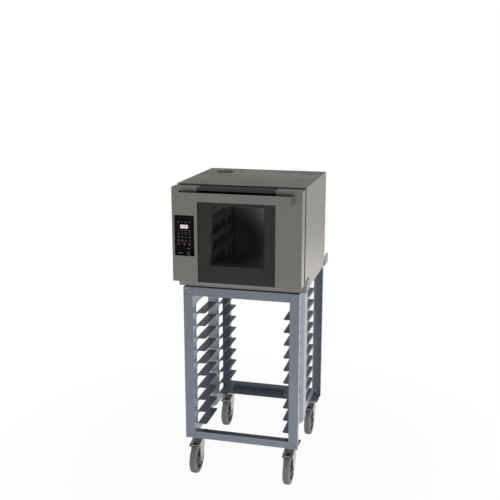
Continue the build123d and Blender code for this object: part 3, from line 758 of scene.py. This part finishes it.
@dataclass
class Kit:
    """What every sub-assembly works with."""

    nodes: dict[str, Piece]
    slots: dict[str, str]

    def __post_init__(self) -> None:
        """Makes every finish once and dresses the nodes that keep their shape."""
        self.paints = {finish.name: finish.make() for finish in FINISHES}
        for paint, names in DRESSED.items():
            for name in names:
                for place in self.nodes[name].material_slots:
                    place.material = self.paints[paint]

    def finish(
        self, piece: Piece, body: str, paint: str, replaced: Sequence[str] = (), slot: str = ""
    ) -> None:
        """Dresses a new piece, lets it ride and hides what it stands for.

        Args:
            piece: The new object.
            body: The CAD body that carries it.
            paint: Its finish.
            replaced: CAD nodes that it stands for.
            slot: The record's material slot, or the replaced node's own; not used.
        """
        piece.data.materials.clear()
        piece.data.materials.append(self.paints[paint])
        for face in piece.data.polygons:
            face.material_index = 0
        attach(piece, body)
        if replaced:
            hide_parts(*replaced)
        slot = slot or (self.slots[replaced[0]] if replaced else "")
        log.info("%s: %d faces", piece.name, len(piece.data.polygons))

    def rounded(
        self, node: str, body: str, paint: str, width: float, framed: bool = False
    ) -> Piece:
        """Replaces a CAD node by a copy with rounded edges.

        Args:
            node: The CAD node's name.
            body: The CAD body that carries it.
            paint: Its finish.
            width: Bevel width in metres.
            framed: Whether its faces go round large openings.

        Returns:
            The new piece.
        """
        piece = clean_copy(self.nodes[node], node + "_finished", framed)
        soften(piece, width)
        self.finish(piece, body, paint, (node,))
        return piece

    def repaint(self, piece: Piece, paint: str, chosen: Callable[[Face], bool]) -> None:
        """Gives some of a piece's faces a second finish.

        Args:
            piece: The object.
            paint: The second finish.
            chosen: Tells whether a face gets it.
        """
        piece.data.materials.append(self.paints[paint])
        for face in piece.data.polygons:
            if chosen(face):
                face.material_index = 1


Part = tuple[str, str, float]  # a CAD node, its finish and bevel width


@dataclass
class Assembly:
    """Pieces that ride one CAD body."""

    kit: Kit
    body: str = "stand_and_oven"
    parts: tuple[Part, ...] = ()
    framed: str = ""

    def dress(self) -> dict[str, Piece]:
        """Dresses every listed part and gives the pieces by node."""
        return {part[0]: self.part(*part, part[0] == self.framed) for part in self.parts}

    def part(self, node: str, paint: str, edge: float, framed: bool = False) -> Piece:
        """Dresses a copy of one CAD node with rounded edges."""
        return self.kit.rounded(node, self.body, paint, edge, framed)

    def slab(self, name: str, paint: str, ends: Sequence[Point], edge: float, slot: str) -> None:
        """Builds a flat strip or print with rounded edges between two corners."""
        self.kit.finish(block(name, *ends, edge), self.body, paint, slot=slot)


# The stand


@dataclass
class Stand(Assembly):
    """The painted frame with its side panels and ledges."""

    edge: float = 0.0007
    rivet_edge: float = 0.0009
    tab_level: float = 0.963
    shaded_rivet_level: float = 0.5

    def build(self) -> None:
        """Builds every painted piece of the stand."""
        painted = ["post_" + place for place in PLACES]
        for node in painted + ["top_beam_front", "top_beam_rear", "bottom_beam_rear"]:
            self.sheet(node)
        beam = self.sheet("bottom_beam_front")
        # painted shade on the up-facing faces of the front bottom beam
        self.kit.repaint(beam, "ledge_shade_paint", lambda face: face.normal.z > 0.5)
        rails = self.sheet("top_side_rails")
        # painted shade on the rails' tabs above the tab level
        self.kit.repaint(rails, "tab_shade_paint", lambda face: face.center.z > self.tab_level)
        for side in ("left", "right"):
            self.sheet("slide_panel_" + side)
            # the tray ledges get the darker copy of the stand paint, painted shade
            self.sheet("tray_ledges_" + side, "ledge_shade_paint")
        # painted highlight on the rivet heads, painted shade on the low front ones
        rivets = self.part("corner_rivets", "rivet_highlight_paint", self.rivet_edge)
        self.kit.repaint(rivets, "rivet_shade_paint", self.is_low_in_front)

    def sheet(self, node: str, paint: str = "stand_paint") -> Piece:
        """Dresses one piece of painted sheet."""
        return self.part(node, paint, self.edge)

    def is_low_in_front(self, face: Face) -> bool:
        """Tells whether a face is on one of the rivets low in front, which get painted shade."""
        return face.center.z < self.shaded_rivet_level and face.center.y < 0


@dataclass
class Caster:
    """One swivel caster: fork, black disc in the hood's hole, core and tyre."""

    kit: Kit
    place: str
    trail: float = 0.035
    fork_edge: float = 0.0006
    core_edge: float = 0.0008
    disc_radius: float = 0.0092
    disc_height: float = 0.0014
    disc_edge: float = 0.0004
    disc_ahead: float = 0.057
    disc_level: float = 0.1585
    hood_slope: float = 13.4
    crown: float = 0.0012
    crown_steps: int = 8
    crown_inset: float = 0.004
    shoulder: tuple[Span, ...] = (
        (0.0015, 0.0035), (0.0002, 0.0065), (0.0, 0.0095), (0.001, 0.0115),
        (0.001, 0.013), (0.0, 0.0145), (0.0, 0.019),
    )

    def build(self) -> None:
        """Builds the fork, the black disc in its hood, the tyre and the core."""
        self.swivel, self.wheel = "swivel_" + self.place, "wheel_" + self.place
        fork, core = "caster_fork_" + self.place, "wheel_core_" + self.place
        self.kit.rounded(fork, self.swivel, "zinc_plate", self.fork_edge)
        self.hole_disc(fork)
        self.tyre()
        self.kit.rounded(core, self.wheel, "wheel_plastic", self.core_edge)

    def hole_disc(self, fork: str) -> None:
        """Builds a black disc in the round hole of the fork's hood, which makes the hole dark.

        Args:
            fork: The fork's CAD node.
        """
        x = sum(corner.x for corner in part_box(fork)) / 2
        axle_y = sum(corner.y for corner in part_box("tyre_" + self.place)) / 2
        centre = (x, axle_y + self.trail - self.disc_ahead, self.disc_level)
        tilt = math.radians(self.hood_slope)
        name = "hood_disc_" + self.place
        hole_disc = cylinder(name, centre, self.disc_radius, self.disc_height, tilt, 32)
        soften(hole_disc, self.disc_edge)
        self.kit.finish(hole_disc, self.swivel, "black_plastic", slot=self.kit.slots[fork])

    def tyre(self) -> None:
        """Builds the tread ring with a slight crown and two side grooves."""
        node = "tyre_" + self.place
        low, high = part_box(node)
        half = (high.x - low.x) / 2
        outer = (high.z - low.z) / 2
        profile = []
        for step in range(self.crown_steps + 1):
            along = -1 + 2 * step / self.crown_steps
            profile.append((along * (half - self.crown_inset), outer - self.crown * along * along))
        profile += [(half - side, outer - depth) for side, depth in self.shoulder]
        profile += [(side - half, outer - depth) for side, depth in reversed(self.shoulder)]
        piece = lathe(node + "_tread", profile, tuple((low + high) / 2))
        only(piece)
        bpy.ops.object.shade_smooth_by_angle(angle=math.radians(40))
        self.kit.finish(piece, self.wheel, "tyre_rubber", (node,))


# The oven


@dataclass
class Casing(Assembly):
    """The oven's outer sheets, vent, rear panel and fixings."""

    parts: tuple[Part, ...] = (
        # the shell's sides take the lighter side copy of the steel, painted light
        ("outer_shell", "side_steel", 0.0011),
        ("front_frame", "front_steel", 0.0007),
        ("back_panel", "side_steel", 0.0005),
        ("base_pan", "dark_paint", 0.0006),
        ("vent_dish", "vent_steel", 0.0004),
        ("vent_pipe", "vent_tube_steel", 0.0004),
        ("cable_gland", "black_plastic", 0.0006),
        ("casing_screws", "fastener_steel", 0.0008),
        ("door_gasket", "gasket_rubber", 0.0015),
    )
    framed: str = "front_frame"
    rim_height: float = 0.004
    rim_lift: float = 0.0045
    liner_wall: float = 0.0007
    strip_width: float = 0.019
    strip_depth: float = 0.003
    strip_edge: float = 0.0012
    fold_inset: float = 0.001
    fold_relief: float = 0.0004
    fold_edge: float = 0.0003
    fold_low: float = 0.0096
    fold_high: float = 0.0168

    def build(self) -> None:
        """Builds the casing's pieces."""
        made = self.dress()
        # painted light: the roof's up-facing faces get the roof copy of the steel
        self.kit.repaint(made["outer_shell"], "roof_lit_steel", lambda face: face.normal.z > STEEP)
        self.raise_rim(made["vent_pipe"])
        self.corner_shade_strip()
        self.lower_fold_highlight()

    def corner_shade_strip(self) -> None:
        """Builds a dark strip in the chamber's rear left corner, painted shade where the corner is
        in shadow.
        """
        low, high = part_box("chamber_liner")
        wall = self.liner_wall
        start = (low.x + wall, high.y - wall - self.strip_depth, low.z + wall)
        end = (low.x + self.strip_width, high.y - wall, high.z - wall)
        slot = self.kit.slots["chamber_liner"]
        self.slab("chamber_corner_shade_strip", "corner_shade_paint", (start, end), self.strip_edge, slot)

    def lower_fold_highlight(self) -> None:
        """Builds a narrow flat strip of lighter steel across the front frame below the door, a
        painted highlight where the frame's lower fold catches the light.
        """
        low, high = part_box("front_frame")
        start = (low.x + self.fold_inset, low.y - self.fold_relief, low.z + self.fold_low)
        end = (high.x - self.fold_inset, low.y + self.fold_relief, low.z + self.fold_high)
        slot = self.kit.slots["front_frame"]
        self.slab("front_frame_fold_highlight", "fold_highlight_steel", (start, end), self.fold_edge, slot)

    def raise_rim(self, pipe: Piece) -> None:
        """Lifts the vent tube's rim.

        Args:
            pipe: The vent tube.
        """
        top = max(vertex.co.z for vertex in pipe.data.vertices)
        for vertex in pipe.data.vertices:
            if vertex.co.z > top - self.rim_height:
                vertex.co.z += self.rim_lift


class Mark(Enum):
    """A plain sign printed on the control panel, with its letter in the table of rows."""

    RING = "R"
    DISC = "D"
    BARS = "B"
    TILE = "T"
    ARROW = "A"
    CROSS = "X"
    WAVE = "W"


Sign = tuple[Mark, float, float, float]  # its kind, middle and half width


@dataclass
class Controls(Assembly):
    """The lit display and the plain printed signs on the control panel."""

    body: str = "door"
    slot: str = "control_glass"
    print_depth: float = 0.00015
    print_root: float = 0.0001
    print_edge: float = 0.00004
    sign_line: float = 0.28
    sign_size: float = 0.0028
    columns: tuple[float, ...] = (-0.268, -0.2507, -0.2335, -0.216)
    rows: tuple[tuple[float, str], ...] = (
        (1.282, "TAWB"), (1.245, "RBWD"), (1.227, "BXRA"), (1.213, "TDRW"), (1.198, "WTBX")
    )
    single_signs: tuple[Sign, ...] = (
        (Mark.ARROW, -0.2705, 1.2615, 0.0022),
        (Mark.TILE, -0.215, 1.2615, 0.0022),
        (Mark.RING, -0.268, 1.181, 0.0034),
        (Mark.TILE, -0.216, 1.179, 0.0034),
    )
    start_signs: tuple[Sign, ...] = (
        (Mark.RING, -0.241, 1.18, 0.0045),
        (Mark.DISC, -0.241, 1.18, 0.0022),
    )
    light_disc: Point = (-0.217, 1.1607, 0.0028)
    light_bars: tuple[Limits, ...] = (
        (-0.23, -0.2255, 1.1597, 1.1617),
        (-0.2245, -0.2215, 1.16, 1.1614),
    )
    line_ends: Span = (-0.272, -0.21)
    line_levels: tuple[float, ...] = (1.235, 1.1895)
    line_half: float = 0.0008
    band_inset: float = 0.0015
    band_depth: float = 0.00012
    band_edge: float = 0.00005
    band_top: float = 1.1465
    display_middle: Span = (-0.2415, 1.2615)
    digit_pitch: float = 0.0125
    digit_half: Span = (0.0022, 0.0042)
    digit_line: float = 0.0005
    digit_part: float = 0.0001
    digit_lift: float = 0.00012
    tile_gap: float = 0.001
    tile_half: float = 0.0085
    lit_lines: tuple[str, ...] = ("abcdg", "acdefg", "abcdefg")
    foot_lift: float = 0.0001
    foot_ring: Limits = (-0.222, 1.1372, 0.0078, 0.0018)
    foot_disc: Point = (-0.271, 1.1385, 0.0022)
    foot_bars: tuple[Limits, ...] = (
        (-0.2255, -0.2185, 1.1366, 1.1378),
        (-0.27, -0.251, 1.138, 1.139),
        (-0.2545, -0.249, 1.1368, 1.1402),
        (-0.265, -0.26, 1.1408, 1.1416),
        (-0.263, -0.258, 1.1354, 1.1362),
    )

    def __post_init__(self) -> None:
        """Reads where the panel's face is."""
        self.low, self.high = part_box("control_panel")
        self.face = self.low.y

    def build(self) -> None:
        """Builds every sign, finish by finish."""
        signs = []
        for z, marks in self.rows:
            places = zip(marks, self.columns)
            signs += [self.sign(Mark(letter), x, z, self.sign_size) for letter, x in places]
        signs += [self.sign(*sign) for sign in self.single_signs]
        self.put("control_signs", signs, "icon_grey")
        half = self.line_half
        lines = [self.bar((*self.line_ends, z - half, z + half)) for z in self.line_levels]
        self.put("control_lines", lines, "icon_orange")
        self.put("control_start", [self.sign(*sign) for sign in self.start_signs], "icon_pink")
        first, last = self.light_bars
        disc = self.sign(Mark.DISC, *self.light_disc)
        self.put("control_light", [self.bar(first), disc, self.bar(last)], "icon_yellow")
        self.band()
        self.display()
        self.foot()

    def band(self) -> None:
        """Builds the black band across the panel's foot."""
        inset = self.band_inset
        start = (self.low.x + inset, self.face - self.band_depth, self.low.z + inset)
        end = (self.high.x - inset, self.face + self.print_root, self.band_top)
        self.slab("control_band", "control_band", (start, end), self.band_edge, self.slot)

    def bar(self, limits: Limits, lift: float = 0.0) -> Piece:
        """Adds a thin printed bar on the panel's face.

        Args:
            limits: Its left, right, lower and upper edge.
            lift: How far it stands before the other prints.

        Returns:
            The bar.
        """
        x0, x1, z0, z1 = limits
        y = self.face - lift
        return block("bar", (x0, y - self.print_depth, z0), (x1, y + self.print_root, z1))

    def disc(self, x: float, z: float, radius: float) -> Piece:
        """Adds a thin printed disc about a middle."""
        y, depth = (self.print_root - self.print_depth) / 2, self.print_depth + self.print_root
        return cylinder("disc", (x, self.face + y, z), radius, depth, math.pi / 2, 20)

    def ring(self, x: float, z: float, radius: float, width: float) -> Piece:
        """Adds a thin printed ring.

        Args:
            x: Its middle.
            z: Its middle.
            radius: To the middle of the line.
            width: The line's width.

        Returns:
            The ring.
        """
        torus, turn = bpy.ops.mesh.primitive_torus_add, (math.pi / 2, 0, 0)
        sizes = {"major_radius": radius, "minor_radius": width / 2}
        steps = {"major_segments": 24, "minor_segments": 6}
        piece = added("ring", torus, location=(x, self.face, z), rotation=turn, **sizes, **steps)
        piece.scale.z = 2 * self.print_depth / width
        settle(piece)
        return piece

    def sign(self, mark: Mark, x: float, z: float, size: float) -> Piece:
        """Adds one plain sign.

        Args:
            mark: Its kind.
            x: Its middle.
            z: Its middle.
            size: Half its width.

        Returns:
            The sign as one object.
        """
        if mark is Mark.RING:
            parts = [self.ring(x, z, size * 0.8, size * self.sign_line)]
        elif mark is Mark.DISC:
            parts = [self.disc(x, z, size * 0.85)]
        else:
            strokes = self.strokes(mark, size)
            parts = [self.bar((x + x0, x + x1, z + z0, z + z1)) for x0, x1, z0, z1 in strokes]
        return joined("sign", parts)

    def strokes(self, mark: Mark, size: float) -> list[Limits]:
        """Gives a sign's straight strokes about its middle.

        Args:
            mark: Its kind.
            size: Half its width.

        Returns:
            Each stroke's left, right, lower and upper edge.
        """
        thin = size * self.sign_line / 2
        steps = (-2, -1, 0, 1, 2)
        if mark is Mark.BARS:
            levels = (-size * 0.65, 0, size * 0.65)
            return [(-size, size, level - thin, level + thin) for level in levels]
        if mark is Mark.TILE:
            return [(-size, size, -size * 0.6, size * 0.6)]
        if mark is Mark.CROSS:
            return [(-size, size, -thin, thin), (-thin, thin, -size, size)]
        if mark is Mark.ARROW:
            left = -size * 0.6
            ends = [(2 * k * thin, left + size * (1 - abs(k) / 3)) for k in steps]
            return [(left, right, level - thin, level + thin) for level, right in ends]
        posts = [(k * size * 0.5, size * (1 - 0.3 * (k % 2))) for k in steps]
        return [(place - thin, place + thin, -tall, tall) for place, tall in posts]

    def put(self, name: str, parts: Sequence[Piece], paint: str) -> None:
        """Joins prints of one colour, softens their edges and dresses them.

        Args:
            name: The joined piece's name.
            parts: The prints.
            paint: Their finish.
        """
        sheet = joined(name, parts)
        soften(sheet, self.print_edge)
        self.kit.finish(sheet, self.body, paint, slot=self.slot)

    def display(self) -> None:
        """Builds three lit digit tiles and their seven-line digits."""
        tiles = []
        digits = []
        centre, middle = self.display_middle
        pitch, gap = self.digit_pitch, self.tile_gap
        (wide, tall), line, part = self.digit_half, self.digit_line, self.digit_part
        upper = (middle + part, middle + tall)
        lower = (middle - tall, middle - part)
        for index, lit in enumerate(self.lit_lines):
            x = centre + (index - 1) * pitch
            left, right = x - pitch / 2 + gap, x + pitch / 2 - gap
            tiles.append(self.bar((left, right, middle - self.tile_half, middle + self.tile_half)))
            places = {
                "a": (x - wide, x + wide, middle + tall - line, middle + tall + line),
                "g": (x - wide, x + wide, middle - line, middle + line),
                "d": (x - wide, x + wide, middle - tall - line, middle - tall + line),
                "f": (x - wide - line, x - wide + line, *upper),
                "b": (x + wide - line, x + wide + line, *upper),
                "e": (x - wide - line, x - wide + line, *lower),
                "c": (x + wide - line, x + wide + line, *lower),
            }
            digits += [self.bar(places[key], self.digit_lift) for key in lit]
        self.put("display_tiles", tiles, "display_white")
        self.put("display_digits", digits, "digit_red")

    def foot(self) -> None:
        """Builds the two signs on the dark band: a socket and a power ring."""
        power, *socket = [self.bar(limits, self.foot_lift) for limits in self.foot_bars]
        parts = [self.ring(*self.foot_ring), power, self.disc(*self.foot_disc), *socket]
        self.put("control_foot_signs", parts, "icon_grey")


@dataclass
class Door(Assembly):
    """The drop-down door with its panes, handle and controls."""

    body: str = "door"
    parts: tuple[Part, ...] = (
        ("door_cheeks", "front_steel", 0.0009),
        ("door_handle", "front_steel", 0.0004),
        ("door_core", "door_edge_paint", 0.0005),
        ("door_inner_panel", "chamber_steel", 0.0006),
        ("door_outer_glass", "outer_glass", 0.0004),
        ("door_inner_glass", "inner_glass", 0.0006),
        ("control_panel", "control_face", 0.0006),
        ("handle_screws", "fastener_steel", 0.0006),
    )
    framed: str = "door_cheeks"
    handle_end: float = 0.24
    window_margin: float = 0.016
    reveal_reach: float = 0.02
    glass_inset: float = 0.0002
    border_gap: float = 0.00016
    border_depth: float = 0.00012
    border_edge: float = 0.00003
    print_front: float = 0.00015
    print_root: float = 0.0001
    print_edge: float = 0.00005
    # the band between these two levels is painted shade behind the handle
    dark_low: float = 1.4095
    dark_high: float = 1.4285
    top_inset: float = 0.0004

    def build(self) -> None:
        """Builds the door's pieces."""
        made = self.dress()
        # painted light: the cheeks' side faces get the lighter side copy of the steel
        self.kit.repaint(made["door_cheeks"], "side_steel", lambda face: abs(face.normal.x) > STEEP)
        # painted shade on the handle's turned-back ends
        self.kit.repaint(made["door_handle"], "handle_end_shade_steel", self.is_handle_end)
        self.kit.repaint(made["door_core"], "window_reveal_paint", self.is_reveal)
        self.print_glass()
        Controls(self.kit).build()

    def is_handle_end(self, face: Face) -> bool:
        """Tells whether a face is on one of the handle's turned-back ends."""
        return abs(face.normal.x) > 0.25 and abs(face.center.x) > self.handle_end

    def is_reveal(self, face: Face) -> bool:
        """Tells whether a face of the core lies round the window."""
        x0, x1, z0, z1 = self.window(self.reveal_reach)
        return x0 < face.center.x < x1 and z0 < face.center.z < z1

    def print_glass(self) -> None:
        """Builds the border behind the outer pane, and on its upper edge a black band of painted
        shade behind the handle and a lighter band of painted light above it.
        """
        low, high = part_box("door_outer_glass")
        left, right = low.x + self.glass_inset, high.x - self.glass_inset
        x0, x1, z0, z1 = self.window()
        columns = (left, x0, x1, right)
        rows = (low.z, z0, z1, high.z - self.glass_inset)
        y = high.y + self.border_gap
        border = open_plate("glass_border_print", columns, rows, y, self.border_depth)
        soften(border, self.border_edge)
        self.kit.finish(border, self.body, "glass_print", slot="outer_glass")
        for name, paint, z0, z1 in (
            ("handle_band_painted_shade", "control_band", self.dark_low, self.dark_high),
            ("top_edge_painted_light", "top_glass_lit_print", self.dark_high, high.z - self.top_inset),
        ):
            ends = ((left, low.y - self.print_front, z0), (right, low.y + self.print_root, z1))
            self.slab(name, paint, ends, self.print_edge, "outer_glass")

    def window(self, reach: float = 0.0) -> Limits:
        """Reads where the window is from the inner pane less its margin.

        Args:
            reach: How far to go beyond the window's edges.

        Returns:
            Its low and high X and its low and high Z.
        """
        low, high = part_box("door_inner_glass")
        margin = self.window_margin - reach
        return low.x + margin, high.x - margin, low.z + margin, high.z - margin


# The studio


@dataclass
class Studio:
    """Floor, lamps, world and camera."""

    camera_place: Point = (0.938812, -3.777696, 2.005098)
    camera_turn: float = 0.2499
    camera_tilt: float = 0.2319
    lens: float = 58.77
    floor_size: float = 60
    floor_front: float = -1.6
    floor_grey: float = 0.9
    shadow_reach: Span = (0.7, 1.6)
    shadow_share: Span = (0.96, 1.0)
    shine_place: Point = (0.5, 1.2, 0.0)
    shine_reach: Span = (2.6, 4.2)
    shine_share: Span = (1.0, 0.44)
    height_light: tuple[Span, ...] = (
        (-0.05, 0.95), (0.1, 0.56), (0.28, 0.5), (0.43, 0.19), (1.0, 0.11)
    )
    front_light: tuple[Span, ...] = ((-0.9, 0.6), (-0.3, 0.81), (0.2, 0.95))
    hung_lamps: tuple[tuple[str, Point, Point, Span, float], ...] = (
        ("right_lamp", (3.0, -0.3, 0.38), (0, 0, 0.6), (2.6, 0.7), 54),
        ("left_lamp", (-3.0, -0.3, 0.5), (0, 0, 0.7), (2.6, 0.8), 40),
        ("low_lamp", (0.3, -1.4, 0.05), (0, -0.3, 0.15), (1.4, 0.1), 3.2),
    )

    def build(self) -> None:
        """Builds the studio round the product."""
        self.floor()
        self.world()
        for lamp in self.hung_lamps:
            self.lamp(*lamp)
        self.camera()

    def floor(self) -> None:
        """Lays a pale floor that keeps a faint shadow."""
        size = self.floor_size
        middle = (0, size / 2 + self.floor_front, 0)
        plane = bpy.ops.mesh.primitive_plane_add
        floor = added("studio_floor", plane, size=size, location=middle)
        settle(floor)
        material = bpy.data.materials.new("studio_floor")
        nodes = Nodes(material)
        path = nodes.node("LightPath")
        place = nodes.node("TexCoord").outputs["Object"]
        shadow = nodes.distance(place, (0, 0, 0), self.shadow_reach, self.shadow_share)
        shine = nodes.distance(place, self.shine_place, self.shine_reach, self.shine_share)
        seen = nodes.math("MULTIPLY", path.outputs["Is Camera Ray"], shadow)
        mirrored = nodes.math("MULTIPLY", path.outputs["Is Glossy Ray"], shine)
        grey = self.floor_grey
        diffuse = nodes.node("BsdfDiffuse", Color=(grey, grey, grey, 1))
        white = nodes.node("Emission")
        share = nodes.math("MAXIMUM", seen, mirrored)
        nodes.blend(share, diffuse, white, "OutputMaterial")
        material.cycles.emission_sampling = "NONE"
        floor.data.materials.append(material)

    def world(self) -> None:
        """Sets a soft room that is white to the camera and dimmer overhead and in front."""
        world = bpy.data.worlds.new("studio")
        bpy.context.scene.world = world
        nodes = Nodes(world)
        place = nodes.node("TexCoord").outputs["Generated"]
        split = nodes.node("SeparateXYZ", Vector=place).outputs
        height = self.ramp(nodes, split["Z"], self.height_light)
        front = self.ramp(nodes, split["Y"], self.front_light)
        light = nodes.math("MULTIPLY", height, front)
        room = nodes.node("Background", Color=(1, 1, 1, 1), Strength=light)
        white = nodes.node("Background", Color=(1, 1, 1, 1))
        rays = nodes.node("LightPath").outputs
        seen = nodes.math("MAXIMUM", rays["Is Camera Ray"], rays["Is Transmission Ray"])
        nodes.blend(seen, room, white, "OutputWorld")

    @staticmethod
    def ramp(nodes: Nodes, value: Socket, stops: Sequence[Span]) -> Socket:
        """Maps a direction's part to a brightness through stops.

        Args:
            nodes: The world's node tree.
            value: The value from -1 to 1.
            stops: (value, brightness) pairs in order.

        Returns:
            The brightness socket.
        """
        made = nodes.node("ValToRGB", Fac=nodes.spread(value, (-1, 1), (0, 1)))
        made.color_ramp.interpolation = "EASE"
        elements = made.color_ramp.elements
        while len(elements) < len(stops):
            elements.new(0.5)
        for element, (at, level) in zip(elements, stops):
            element.position = (at + 1) / 2
            element.color = (level, level, level, 1)
        return made.outputs["Color"]

    def lamp(self, name: str, place: Point, target: Point, size: Span, power: float) -> None:
        """Hangs one soft lamp that no surface mirrors.

        Args:
            name: The lamp's name.
            place: Where it hangs.
            target: What it points at.
            size: Its width and height in metres.
            power: In watts.
        """
        data = bpy.data.lights.new(name, "AREA")
        data.shape = "RECTANGLE"
        data.size, data.size_y = size
        data.energy = power
        lamp = bpy.data.objects.new(name, data)
        lamp.location = place
        aim = Vector(target) - Vector(place)
        lamp.rotation_euler = aim.to_track_quat("-Z", "Y").to_euler()
        lamp.visible_glossy = False
        lamp.visible_camera = False
        bpy.context.scene.collection.objects.link(lamp)

    def camera(self) -> None:
        """Places the camera where the photograph was taken from."""
        data = bpy.data.cameras.new("camera")
        data.lens = self.lens
        data.sensor_width = 36
        camera = bpy.data.objects.new("camera", data)
        camera.location = self.camera_place
        camera.rotation_euler = (math.pi / 2 - self.camera_tilt, 0, self.camera_turn)
        bpy.context.scene.collection.objects.link(camera)
        bpy.context.scene.camera = camera
        bpy.context.scene.view_settings.view_transform = "Standard"


def main() -> None:
    """Builds the product and the studio."""
    logging.basicConfig(level=logging.INFO, format="%(message)s")
    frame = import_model()
    slots = {part["node"]: part["material_slot"] for part in frame["record"]["subparts"]}
    kit = Kit(frame["nodes"], slots)
    Stand(kit).build()
    for place in PLACES:
        Caster(kit, place).build()
    Casing(kit).build()
    Door(kit).build()
    Studio().build()


if __name__ == "__main__":
    main()
